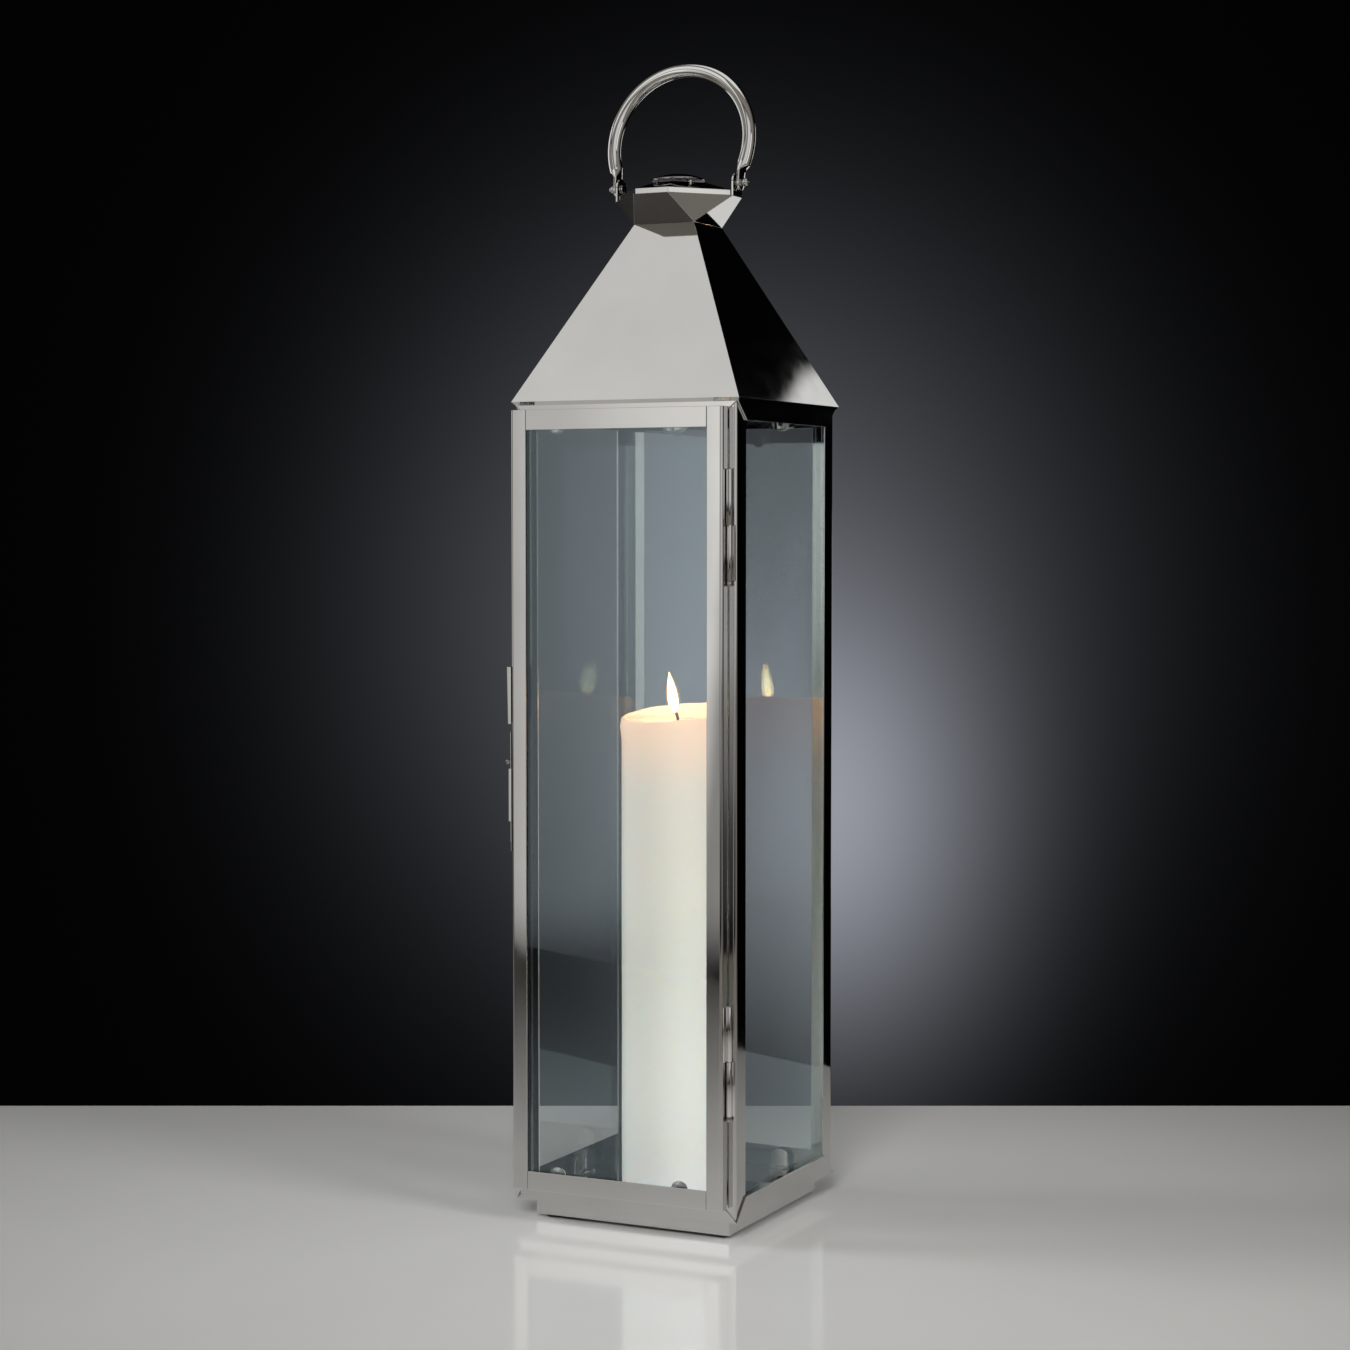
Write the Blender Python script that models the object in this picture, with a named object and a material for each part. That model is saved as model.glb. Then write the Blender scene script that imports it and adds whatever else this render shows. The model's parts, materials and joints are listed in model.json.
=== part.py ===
"""Candle lantern: a tall square lantern of folded, polished steel sheet and glass.

Metres, +Z up. The origin is on the floor under the middle of the lantern. The front, with
the door, faces -Y; the door's hinges are on the +X side and its latch is on the -X side.
"""
import math

import bmesh
import bpy
from mathutils import Matrix, Vector

# Driving dimensions, in metres
GAP = 0.0003  # between pieces that touch
SHEET = 0.0012  # folded sheet
BODY_HALF = 0.105  # outside of the tray and of the roof's skirt
FOOT_HEIGHT = 0.0035  # what shows under the plinth
PLINTH_HALF = 0.0924
PLINTH_TOP = 0.018
EAVE_Z = 0.7078  # widest line of the roof
EAVE_HALF = 0.1073
NECK_Z = 0.8624
NECK_HALF = 0.0287
CROWN_TOP_Z = 0.8856

PLINTH_WALL = 0.0015
FOOT_RADIUS = 0.008
FOOT_OFFSET = 0.080
FOOT_SEGMENTS = 24
FOOT_EDGE = 0.001

TRAY_BOTTOM = PLINTH_TOP + GAP
TRAY_FLOOR = TRAY_BOTTOM + 0.0015
TRAY_SKIRT_TOP = 0.0375
ROOF_SKIRT_BOTTOM = 0.6895
ROOF_SKIRT_FOLD = 0.7048
NOTCH = 0.0205  # how far a skirt's slanted end runs in from its corner
NOTCH_REACH = 0.125  # the cutter's far side, outside the body
TRAY_NOTCH_TIP = (BODY_HALF - 0.0002, TRAY_BOTTOM + 0.0003)
ROOF_NOTCH_TIP = (EAVE_HALF - 0.0012, EAVE_Z - 0.0008)
ROOF_WALL = 0.00135  # the roof's slope, measured level
EAVE_WALL = 0.0017  # the same at the sharper fold of the eave
EAVE_DROP = 0.0004

POST_HALF = BODY_HALF - SHEET - GAP
POST_FLANGE = 0.0195
POST_WALL = 0.0015
POST_BOTTOM = TRAY_FLOOR + GAP
POST_TOP = 0.7035

RING_OUTER = 0.1035
RING_INNER = 0.084
RING_BOTTOM = POST_TOP + GAP

PANE = 0.003
PANE_OUTER = POST_HALF - POST_WALL - GAP
PANE_BOTTOM = POST_BOTTOM
PANE_TOP = POST_TOP

CLIP_SHEET = 0.001
CLIP_HEIGHT = 0.0165
CLIP_FOOT = 0.009
CLIP_ARC_STEPS = 10
SIDE_CLIP_WIDTH = 0.024
BACK_CLIP_WIDTH = 0.018
BACK_CLIP_X = 0.055

# Crown: octagon with long sides on the diagonals, flaring up from the square neck
EAR_X = 0.0566
EAR_X_HALF = 0.0093
EAR_Y = 0.0549
EAR_Y_HALF = 0.0163
CROWN_LIP = 0.90
CROWN_INSIDE = 0.972
CROWN_NECK_WALL = 0.0015
LUG_HALF = 0.0091
LUG_SHEET = 0.0016
LUG_STEPS = 16
LUG_ROOT = 0.0004  # how deep a lug runs into the crown's rim
PIVOT_Z = 0.8975
PIN_RADIUS = 0.0023
PIN_CLEARANCE = 0.0003
PIN_BALL = 0.0034
PIN_HEAD = 0.0036
PIN_HEAD_THICKNESS = 0.0012

LID_SCALE = 0.955
LID_INNER = 0.935
LID_SKIRT = 0.0046
LID_FLAT_SCALE = 0.49
LID_HOLE_SCALE = 0.25
LID_RISE = 0.0080
VENT_RADIUS = 0.0235
VENT_RISE = 0.0050
VENT_AIR = 0.0024
SPACER_RADIUS = 0.0018
SPACER_CIRCLE = 0.0185

HANDLE_RADIUS = 0.065  # middle of the bar
HANDLE_CENTRE = 0.0375  # above the pivot
HANDLE_BAR = 0.0059
HANDLE_LEAN = math.radians(-8.0)
HANDLE_BELOW = math.radians(18.0)  # the bar runs on below the ring's middle by this angle
HANDLE_ARC_STEPS = 26
HANDLE_SIDES = 16
TAB_X = 0.0595
TAB_HALF = 0.0015
TAB_WIDTH_HALF = 0.0068
TAB_BELOW = 0.0072
# From the end of the arc to the tab: share of the way out, share of the way down, half sizes
HANDLE_KINK = (
    (0.30, 0.25, 0.0050, 0.0061),
    (0.72, 0.50, 0.0034, 0.0065),
    (1.0, 0.80, TAB_HALF, TAB_WIDTH_HALF),
)
KINK_END_Z = 0.0100
# Tab, from its top to its round end: height above the pivot and share of its width
TAB_TOP = 0.008
TAB_END = ((0.0, 1.0), (-0.35, 0.97), (-0.75, 0.70), (-1.0, 0.30))

DOOR_LEFT = -0.1036
DOOR_RIGHT = 0.0962
DOOR_BOTTOM = 0.0297
DOOR_TOP = 0.7005
DOOR_BACK = -0.1055
DOOR_FRONT = -0.1155
DOOR_STILE = 0.0146
DOOR_TOP_RAIL = 0.0172
DOOR_BOTTOM_RAIL = 0.0162
DOOR_CLIP_WIDTH = 0.015
DOOR_CLIP_OFFSET = 0.058
DOOR_CLIP_REACH = 0.0195

HINGE_X = 0.0989
HINGE_Y = -0.1072
HINGE_BARREL = 0.0025
HINGE_PIN = 0.0013
HINGE_BORE = 0.0016
HINGE_LENGTH = 0.0925
HINGE_TOPS = {"upper": 0.6485, "lower": 0.2013}
HINGE_LEAF = 0.0012
HINGE_SEGMENTS = 20
FINIAL_LENGTH = 0.0042
FINIAL_EDGE = 0.0008
PIN_TIP = 0.0010
LEAF_SETBACK = 0.0008  # leaf to the door's front face
POST_LEAF_SETBACK = 0.0006  # leaf to the post's outer face

LATCH_BOTTOM = 0.3225
LATCH_TOP = 0.3935
LATCH_STEP = 0.3480
LATCH_HALF = 0.0045
LATCH_BACK_X = DOOR_LEFT - GAP
LATCH_FRONT_X = DOOR_LEFT - 0.0030
SLOT_IN_X = DOOR_LEFT - 0.0009
SLOT_OUT_X = DOOR_LEFT - 0.0023
BOLT_IN_X = SLOT_IN_X - GAP
BOLT_OUT_X = SLOT_OUT_X + GAP
BOLT_Y = -0.1105
BOLT_HALF = 0.0031
BOLT_BOTTOM = 0.330
BOLT_TOP = 0.425
KNOB_Z = 0.399
KNOB_RADIUS = 0.0024
KEEPER_BOTTOM = 0.432
KEEPER_TOP = 0.481
KEEPER_END_Y = -0.0915
KEEPER_OVER_POST = 0.0002
KEEPER_LIP = 0.0010
KEEPER_LIP_GAP = 0.0006
KEEPER_WALL_LOW = 0.0013
KEEPER_WALL_HIGH = 0.0022
KNOB_STEM = 0.0012
KNOB_STANDOFF = 0.0010

CANDLE_RADIUS = 0.0502
CANDLE_BOTTOM = TRAY_FLOOR + GAP
CANDLE_RIM = 0.4415
CANDLE_POOL = 0.4335
WICK_RADIUS = 0.0014
WICK_DEPTH = 0.006
WICK_TOP = 0.4425
CANDLE_SEGMENTS = 48
# The melted top, from the wick out: share of the radius, height
CANDLE_DISH = (
    (0.55, CANDLE_POOL + 0.0006),
    (0.80, CANDLE_POOL + 0.0022),
    (0.92, CANDLE_RIM - 0.0018),
    (0.965, CANDLE_RIM),
    (1.0, CANDLE_RIM - 0.0016),
)
CANDLE_EDGE = 0.0008
WICK_EDGE = 0.0006

OVER = 0.001  # how far a cutter runs past what it cuts

CORNERS = (
    (-1, -1, "front_left"),
    (1, -1, "front_right"),
    (1, 1, "back_right"),
    (-1, 1, "back_left"),
)

# Finish of each family: colour, metallic, roughness, alpha
POLISHED_STEEL = ((0.62, 0.61, 0.59), 1.0, 0.08, 1.0)
DARK_STEEL = ((0.16, 0.155, 0.15), 1.0, 0.12, 1.0)
CLEAR_GLASS = ((0.72, 0.78, 0.80), 0.0, 0.02, 0.25)
IVORY_WAX = ((0.90, 0.83, 0.70), 0.0, 0.45, 1.0)
BURNT_COTTON = ((0.05, 0.035, 0.025), 0.0, 0.9, 1.0)
BLACK_RUBBER = ((0.03, 0.03, 0.03), 0.0, 0.8, 1.0)


def clear_scene():
    for old in list(bpy.data.objects):
        bpy.data.objects.remove(old, do_unlink=True)


def finish_material(name, family):
    colour, metallic, roughness, alpha = family
    material = bpy.data.materials.new(name)
    material.use_nodes = True
    shader = material.node_tree.nodes["Principled BSDF"]
    shader.inputs["Base Color"].default_value = (*colour, 1.0)
    shader.inputs["Metallic"].default_value = metallic
    shader.inputs["Roughness"].default_value = roughness
    shader.inputs["Alpha"].default_value = alpha
    return material


def make_object(name, bm, family, smooth_angle=None):
    """Turn a bmesh into a linked object whose faces point out."""
    bmesh.ops.recalc_face_normals(bm, faces=bm.faces)
    mesh = bpy.data.meshes.new(name)
    bm.to_mesh(mesh)
    bm.free()
    if smooth_angle is not None:
        mesh.shade_smooth()
        mesh.set_sharp_from_angle(angle=smooth_angle)
    obj = bpy.data.objects.new(name, mesh)
    bpy.context.scene.collection.objects.link(obj)
    if family is not None:
        mesh.materials.append(finish_material(name, family))
    return obj


def loft(loops, ring=False):
    """Bridge loops of equal length; cap both ends, or join the last loop to the first."""
    bm = bmesh.new()
    rows = [[bm.verts.new(point) for point in loop] for loop in loops]
    count = len(rows[0])
    pairs = list(zip(rows, rows[1:]))
    if ring:
        pairs.append((rows[-1], rows[0]))
    for low, high in pairs:
        for i in range(count):
            j = (i + 1) % count
            bm.faces.new((low[i], low[j], high[j], high[i]))
    if not ring:
        bm.faces.new(rows[0])
        bm.faces.new(rows[-1])
    return bm


def square(half, z):
    return [(-half, -half, z), (half, -half, z), (half, half, z), (-half, half, z)]


def octagon(scale, z):
    """The crown's outline, seen from above, counterclockwise from its +X side."""
    x, xh = EAR_X * scale, EAR_X_HALF * scale
    y, yh = EAR_Y * scale, EAR_Y_HALF * scale
    outline = ((x, -xh), (x, xh), (yh, y), (-yh, y), (-x, xh), (-x, -xh), (-yh, -y), (yh, -y))
    return [(px, py, z) for px, py in outline]


def prism(outline, axis, low, high):
    """Extrude a closed outline along X, Y or Z. Its two numbers are the other two axes in order."""
    place = {
        "X": lambda a, b, t: (t, a, b),
        "Y": lambda a, b, t: (a, t, b),
        "Z": lambda a, b, t: (a, b, t),
    }[axis]
    return loft([[place(a, b, t) for a, b in outline] for t in (low, high)])


def block(low, high):
    (x0, y0, z0), (x1, y1, z1) = low, high
    return prism([(x0, y0), (x1, y0), (x1, y1), (x0, y1)], "Z", z0, z1)


def turned(profile, segments):
    """Turn a profile about Z. Its first and last points are on the axis."""
    bm = bmesh.new()
    rings = []
    for radius, z in profile[1:-1]:
        ring = []
        for i in range(segments):
            angle = math.tau * i / segments
            ring.append(bm.verts.new((radius * math.cos(angle), radius * math.sin(angle), z)))
        rings.append(ring)
    for low, high in zip(rings, rings[1:]):
        for i in range(segments):
            j = (i + 1) % segments
            bm.faces.new((low[i], low[j], high[j], high[i]))
    for ring, (_, z) in ((rings[0], profile[0]), (rings[-1], profile[-1])):
        pole = bm.verts.new((0.0, 0.0, z))
        for i in range(segments):
            bm.faces.new((ring[i], ring[(i + 1) % segments], pole))
    return bm


def arc(radius, centre_z, start, end, steps):
    """Points of a turned arc, as (radius, z), with angles measured up from the horizontal."""
    points = []
    for i in range(steps + 1):
        angle = start + (end - start) * i / steps
        points.append((radius * math.cos(angle), centre_z + radius * math.sin(angle)))
    return points


def hide_tool(obj):
    obj.hide_render = True
    obj.display_type = "WIRE"


def combine(obj, tool, operation):
    """Add an exact Boolean of a hidden tool to an object."""
    hide_tool(tool)
    modifier = obj.modifiers.new(tool.name, "BOOLEAN")
    modifier.operation = operation
    modifier.solver = "EXACT"
    modifier.object = tool


def tool_cylinder(name, radius, axis, centre, half_length, segments=HINGE_SEGMENTS):
    bm = bmesh.new()
    bmesh.ops.create_cone(
        bm, cap_ends=True, segments=segments, radius1=radius, radius2=radius, depth=2 * half_length
    )
    if axis == "X":
        bmesh.ops.rotate(bm, verts=bm.verts, matrix=Matrix.Rotation(math.pi / 2, 3, "Y"))
    bmesh.ops.translate(bm, verts=bm.verts, vec=Vector(centre))
    return make_object(name, bm, None)


def make_axis(name, location):
    empty = bpy.data.objects.new(name, None)
    empty.location = location
    bpy.context.scene.collection.objects.link(empty)
    bpy.context.view_layer.update()
    return empty


def hang_on(obj, axis):
    """Parent an object to an axis empty and keep it where it was modelled."""
    obj.data.transform(Matrix.Translation(-axis.location))
    obj.parent = axis


def corner_pyramid(name, sign_x, sign_y, apex, base):
    """Cutter for the slanted ends of two neighbouring skirts: a pyramid with its tip at the corner."""
    apex_half, apex_z = apex
    base_half, base_z = base
    far = NOTCH_REACH
    corners = [(base_half, base_half), (far, base_half), (far, far), (base_half, far)]
    bm = bmesh.new()
    ring = [bm.verts.new((sign_x * x, sign_y * y, base_z)) for x, y in corners]
    tip = bm.verts.new((sign_x * apex_half, sign_y * apex_half, apex_z))
    for i in range(4):
        bm.faces.new((ring[i], ring[(i + 1) % 4], tip))
    bm.faces.new(ring)
    return make_object(name, bm, None)


def cut_skirt_corners(obj, apex, base):
    for sign_x, sign_y, where in CORNERS:
        tool = corner_pyramid(f"{obj.name}_notch_{where}", sign_x, sign_y, apex, base)
        combine(obj, tool, "DIFFERENCE")


def make_base():
    """Plinth, its four feet and the tray that the posts and the candle stand in."""
    inner = PLINTH_HALF - PLINTH_WALL
    ceiling = PLINTH_TOP - PLINTH_WALL
    plinth_loops = [
        square(PLINTH_HALF, PLINTH_TOP),
        square(PLINTH_HALF, FOOT_HEIGHT),
        square(inner, FOOT_HEIGHT),
        square(inner, ceiling),
    ]
    make_object("plinth", loft(plinth_loops), POLISHED_STEEL)

    top = ceiling - GAP
    foot_profile = [
        (0.0, 0.0),
        (FOOT_RADIUS - FOOT_EDGE, 0.0),
        (FOOT_RADIUS, FOOT_EDGE),
        (FOOT_RADIUS, top),
        (0.0, top),
    ]
    for sign_x, sign_y, where in CORNERS:
        foot = make_object(
            f"foot_{where}", turned(foot_profile, FOOT_SEGMENTS), BLACK_RUBBER, math.radians(40)
        )
        foot.location = (sign_x * FOOT_OFFSET, sign_y * FOOT_OFFSET, 0.0)

    tray_loops = [
        square(BODY_HALF, TRAY_BOTTOM),
        square(BODY_HALF, TRAY_SKIRT_TOP),
        square(BODY_HALF - SHEET, TRAY_SKIRT_TOP),
        square(BODY_HALF - SHEET, TRAY_FLOOR),
    ]
    tray = make_object("base_tray", loft(tray_loops), POLISHED_STEEL)
    cut_skirt_corners(tray, TRAY_NOTCH_TIP, (BODY_HALF - NOTCH, TRAY_SKIRT_TOP + OVER))


def make_posts():
    """Four angle posts and the ring that ties their tops."""
    inside = POST_HALF - POST_WALL
    free = POST_HALF - POST_FLANGE
    outline = [
        (POST_HALF, POST_HALF),
        (free, POST_HALF),
        (free, inside),
        (inside, inside),
        (inside, free),
        (POST_HALF, free),
    ]
    for sign_x, sign_y, where in CORNERS:
        mirrored = [(sign_x * x, sign_y * y) for x, y in outline]
        make_object(f"post_{where}", prism(mirrored, "Z", POST_BOTTOM, POST_TOP), POLISHED_STEEL)
    ring_loops = [
        square(RING_OUTER, RING_BOTTOM),
        square(RING_OUTER, RING_BOTTOM + SHEET),
        square(RING_INNER, RING_BOTTOM + SHEET),
        square(RING_INNER, RING_BOTTOM),
    ]
    make_object("top_ring", loft(ring_loops, ring=True), POLISHED_STEEL)


def make_panes():
    """Fixed glass on the left, right and back."""
    inner = PANE_OUTER - PANE
    side_half = PANE_OUTER
    back_half = inner - 2 * GAP
    for name, low_x, high_x in (
        ("glass_left", -PANE_OUTER, -inner),
        ("glass_right", inner, PANE_OUTER),
    ):
        bm = block((low_x, -side_half, PANE_BOTTOM), (high_x, side_half, PANE_TOP))
        make_object(name, bm, CLEAR_GLASS)
    bm = block((-back_half, inner, PANE_BOTTOM), (back_half, PANE_OUTER, PANE_TOP))
    make_object("glass_back", bm, CLEAR_GLASS)


def clip_mesh(width, height, foot):
    """Round-topped tab with a foot. It stands on local Z = 0 with its glass side at local Y = 0."""
    half = width / 2
    rise = half * 0.85
    outline = [(-half, 0.0)]
    for i in range(CLIP_ARC_STEPS + 1):
        angle = math.pi - math.pi * i / CLIP_ARC_STEPS
        outline.append((half * math.cos(angle), height - rise + rise * math.sin(angle)))
    outline.append((half, 0.0))
    front = [(x, 0.0, z) for x, z in outline]
    back = [(x, CLIP_SHEET, z) for x, z in outline]
    bm = loft([front, back])
    # the foot is pulled out of the tab's lowest strip, so the clip stays one sheet
    bmesh.ops.bisect_plane(
        bm,
        geom=bm.verts[:] + bm.edges[:] + bm.faces[:],
        plane_co=(0, 0, CLIP_SHEET),
        plane_no=(0, 0, 1),
        dist=1e-7,
    )
    bmesh.ops.recalc_face_normals(bm, faces=bm.faces)
    bm.faces.ensure_lookup_table()
    strip = [f for f in bm.faces if f.normal.y > 0.9 and f.calc_center_median().z < CLIP_SHEET]
    pulled = bmesh.ops.extrude_face_region(bm, geom=strip)
    moved = [item for item in pulled["geom"] if isinstance(item, bmesh.types.BMVert)]
    bmesh.ops.translate(bm, verts=moved, vec=(0, foot - CLIP_SHEET, 0))
    bmesh.ops.delete(bm, geom=strip, context="FACES")
    return bm


def make_clips():
    """Tabs inside the body that hold the fixed panes against the posts."""
    glass_face = PANE_OUTER - PANE - GAP
    low_z = TRAY_FLOOR + GAP
    high_z = RING_BOTTOM - GAP
    places = []
    for side, sign in (("left", -1), ("right", 1)):
        turn = sign * math.pi / 2
        places.append((f"clip_{side}", (sign * glass_face, 0.0), turn, SIDE_CLIP_WIDTH))
    for side, sign in (("left", -1), ("right", 1)):
        where = (sign * BACK_CLIP_X, glass_face)
        places.append((f"clip_back_{side}", where, math.pi, BACK_CLIP_WIDTH))
    for name, (x, y), turn, width in places:
        for level, z, flip in (("bottom", low_z, 0.0), ("top", high_z, math.pi)):
            bm = clip_mesh(width, CLIP_HEIGHT, CLIP_FOOT)
            clip = make_object(f"{name}_{level}", bm, POLISHED_STEEL, math.radians(30))
            clip.rotation_euler = (0.0, flip, turn)
            clip.location = (x, y, z)


def make_roof():
    """Pyramid roof with a skirt folded down over the posts, cut on the slant at its corners."""
    loops = [
        square(BODY_HALF, ROOF_SKIRT_BOTTOM),
        square(BODY_HALF, ROOF_SKIRT_FOLD),
        square(EAVE_HALF, EAVE_Z),
        square(NECK_HALF, NECK_Z),
        square(NECK_HALF - ROOF_WALL, NECK_Z),
        square(EAVE_HALF - EAVE_WALL, EAVE_Z - EAVE_DROP),
        square(BODY_HALF - SHEET, ROOF_SKIRT_FOLD + EAVE_DROP),
        square(BODY_HALF - SHEET, ROOF_SKIRT_BOTTOM),
    ]
    roof = make_object("roof", loft(loops, ring=True), POLISHED_STEEL)
    cut_skirt_corners(roof, ROOF_NOTCH_TIP, (BODY_HALF - NOTCH, ROOF_SKIRT_BOTTOM - OVER))


def crown_shell():
    """Flared shell from the square neck to the octagon: four ears and four triangular gussets."""
    bottom = NECK_Z + GAP
    lip = CROWN_TOP_Z - SHEET
    bm = bmesh.new()

    def add(points):
        return [bm.verts.new(point) for point in points]

    neck_out = add(square(NECK_HALF, bottom))
    neck_in = add(square(NECK_HALF - CROWN_NECK_WALL, bottom))
    top_out = add(octagon(1.0, CROWN_TOP_Z))
    lip_top = add(octagon(CROWN_LIP, CROWN_TOP_Z))
    lip_low = add(octagon(CROWN_LIP, lip))
    top_in = add(octagon(CROWN_INSIDE, lip))
    # octagon points: 0,1 on +X; 2,3 on +Y; 4,5 on -X; 6,7 on -Y
    ears = ((1, 2, 0, 1), (2, 3, 2, 3), (3, 0, 4, 5), (0, 1, 6, 7))
    for a, b, p, q in ears:
        bm.faces.new((neck_out[a], neck_out[b], top_out[q], top_out[p]))
        bm.faces.new((neck_in[a], neck_in[b], top_in[q], top_in[p]))
        bm.faces.new((neck_out[a], neck_out[b], neck_in[b], neck_in[a]))
    for corner, p, q in ((2, 1, 2), (3, 3, 4), (0, 5, 6), (1, 7, 0)):
        bm.faces.new((neck_out[corner], top_out[p], top_out[q]))
        bm.faces.new((neck_in[corner], top_in[p], top_in[q]))
    for low, high in ((top_out, lip_top), (lip_top, lip_low), (lip_low, top_in)):
        for i in range(8):
            j = (i + 1) % 8
            bm.faces.new((low[i], low[j], high[j], high[i]))
    return bm


def make_crown():
    """Crown with two round-topped lugs, its lid, and the vent dome on three spacers."""
    crown = make_object("crown", crown_shell(), POLISHED_STEEL)
    outline = [(LUG_HALF, CROWN_TOP_Z - LUG_ROOT)]
    for i in range(LUG_STEPS + 1):
        angle = math.pi * i / LUG_STEPS
        outline.append((LUG_HALF * math.cos(angle), PIVOT_Z + LUG_HALF * math.sin(angle)))
    outline.append((-LUG_HALF, CROWN_TOP_Z - LUG_ROOT))
    for sign, side in ((-1, "left"), (1, "right")):
        inner = sign * (EAR_X - LUG_SHEET)
        bm = prism(outline, "X", inner, sign * EAR_X)
        combine(crown, make_object(f"lug_{side}_guide", bm, None), "UNION")
    hole = tool_cylinder(
        "lug_hole_cutter", PIN_RADIUS + PIN_CLEARANCE, "X", (0, 0, PIVOT_Z), EAR_X + OVER
    )
    combine(crown, hole, "DIFFERENCE")

    skirt_low = CROWN_TOP_Z + GAP
    skirt_top = skirt_low + LID_SKIRT
    flat_z = skirt_top + LID_RISE
    lid_loops = [
        octagon(LID_SCALE, skirt_low),
        octagon(LID_SCALE, skirt_top),
        octagon(LID_FLAT_SCALE, flat_z),
        octagon(LID_HOLE_SCALE, flat_z),
        octagon(LID_HOLE_SCALE, flat_z - SHEET),
        octagon(LID_FLAT_SCALE, flat_z - SHEET),
        octagon(LID_INNER, skirt_top - SHEET),
        octagon(LID_INNER, skirt_low),
    ]
    make_object("crown_lid", loft(lid_loops, ring=True), POLISHED_STEEL)

    spacer_low = flat_z + GAP
    spacer_high = spacer_low + VENT_AIR
    for i in range(3):
        angle = math.tau * i / 3 + math.pi / 2
        profile = [
            (0.0, spacer_low),
            (SPACER_RADIUS, spacer_low),
            (SPACER_RADIUS, spacer_high),
            (0.0, spacer_high),
        ]
        spacer = make_object(
            f"vent_spacer_{i + 1}", turned(profile, 16), POLISHED_STEEL, math.radians(40)
        )
        spacer.location = (SPACER_CIRCLE * math.cos(angle), SPACER_CIRCLE * math.sin(angle), 0.0)

    dome_low = spacer_high + GAP
    radius = (VENT_RADIUS**2 + VENT_RISE**2) / (2 * VENT_RISE)
    spread = math.asin(VENT_RADIUS / radius)
    centre = dome_low + SHEET + VENT_RISE - radius
    outer = arc(radius, centre, math.pi / 2, math.pi / 2 - spread, 7)
    profile = [*outer, (VENT_RADIUS, dome_low), (0.0, dome_low)]
    make_object("vent_dome", turned(profile, 36), DARK_STEEL, math.radians(40))


def handle_stations():
    """Middle, direction across the bar and half sizes of the bar, from one end to the other."""
    end_angle = -HANDLE_BELOW
    half = []
    steps = HANDLE_ARC_STEPS // 2
    for i in range(steps + 1):
        angle = math.pi / 2 + (end_angle - math.pi / 2) * i / steps
        x = HANDLE_RADIUS * math.cos(angle)
        z = HANDLE_CENTRE + HANDLE_RADIUS * math.sin(angle)
        half.append((Vector((x, z)), angle, HANDLE_BAR, HANDLE_BAR))
    last = half[-1][0]
    kink_end = Vector((TAB_X, KINK_END_Z))
    for along, drop, thick, wide in HANDLE_KINK:
        x = last.x + (kink_end.x - last.x) * along
        z = last.y + (kink_end.y - last.y) * drop
        half.append((Vector((x, z)), -HANDLE_BELOW * (1 - along), thick, wide))
    half.append((Vector((TAB_X, TAB_TOP)), 0.0, TAB_HALF, TAB_WIDTH_HALF))
    for below, wide in TAB_END:
        middle = Vector((TAB_X, below * TAB_BELOW))
        half.append((middle, 0.0, TAB_HALF, TAB_WIDTH_HALF * wide))
    mirrored = []
    for middle, angle, thick, wide in half[:0:-1]:
        mirrored.append((Vector((-middle.x, middle.y)), math.pi - angle, thick, wide))
    return mirrored + half


def make_handle():
    """Ring handle on its pivot axis, leaning back, and the two ball-headed pins that carry it."""
    loops = []
    for middle, angle, thick, wide in handle_stations():
        loop = []
        power = 1.0 if wide == thick else 0.55  # the flattened ends are nearly square in section
        for i in range(HANDLE_SIDES):
            turn = math.tau * i / HANDLE_SIDES
            c, s = math.cos(turn), math.sin(turn)
            across = thick * math.copysign(abs(c) ** power, c)
            depth = wide * math.copysign(abs(s) ** power, s)
            loop.append(
                (middle.x + across * math.cos(angle), depth, middle.y + across * math.sin(angle))
            )
        loops.append(loop)
    handle = make_object("handle", loft(loops), POLISHED_STEEL, math.radians(45))
    handle.location = (0.0, 0.0, PIVOT_Z)
    handle.rotation_euler = (HANDLE_LEAN, 0.0, 0.0)
    hole = tool_cylinder(
        "handle_hole_cutter", PIN_RADIUS + PIN_CLEARANCE, "X", (0, 0, PIVOT_Z), TAB_X + 2 * TAB_HALF
    )
    combine(handle, hole, "DIFFERENCE")

    joint = math.acos(PIN_RADIUS / PIN_BALL)
    ball_x = TAB_X + TAB_HALF + PIN_CLEARANCE + PIN_BALL * math.sin(joint)
    head_in = EAR_X - LUG_SHEET - GAP
    profile = [
        (0.0, head_in - PIN_HEAD_THICKNESS),
        (PIN_HEAD, head_in - PIN_HEAD_THICKNESS),
        (PIN_HEAD, head_in),
        (PIN_RADIUS, head_in),
        *arc(PIN_BALL, ball_x, -joint, math.radians(80), 9),
        (0.0, ball_x + PIN_BALL),
    ]
    for sign, side in ((-1, "left"), (1, "right")):
        bm = turned(profile, HINGE_SEGMENTS)
        pin = make_object(f"handle_pin_{side}", bm, POLISHED_STEEL, math.radians(40))
        pin.rotation_euler = (0.0, sign * math.pi / 2, 0.0)
        pin.location = (0.0, 0.0, PIVOT_Z)


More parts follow.
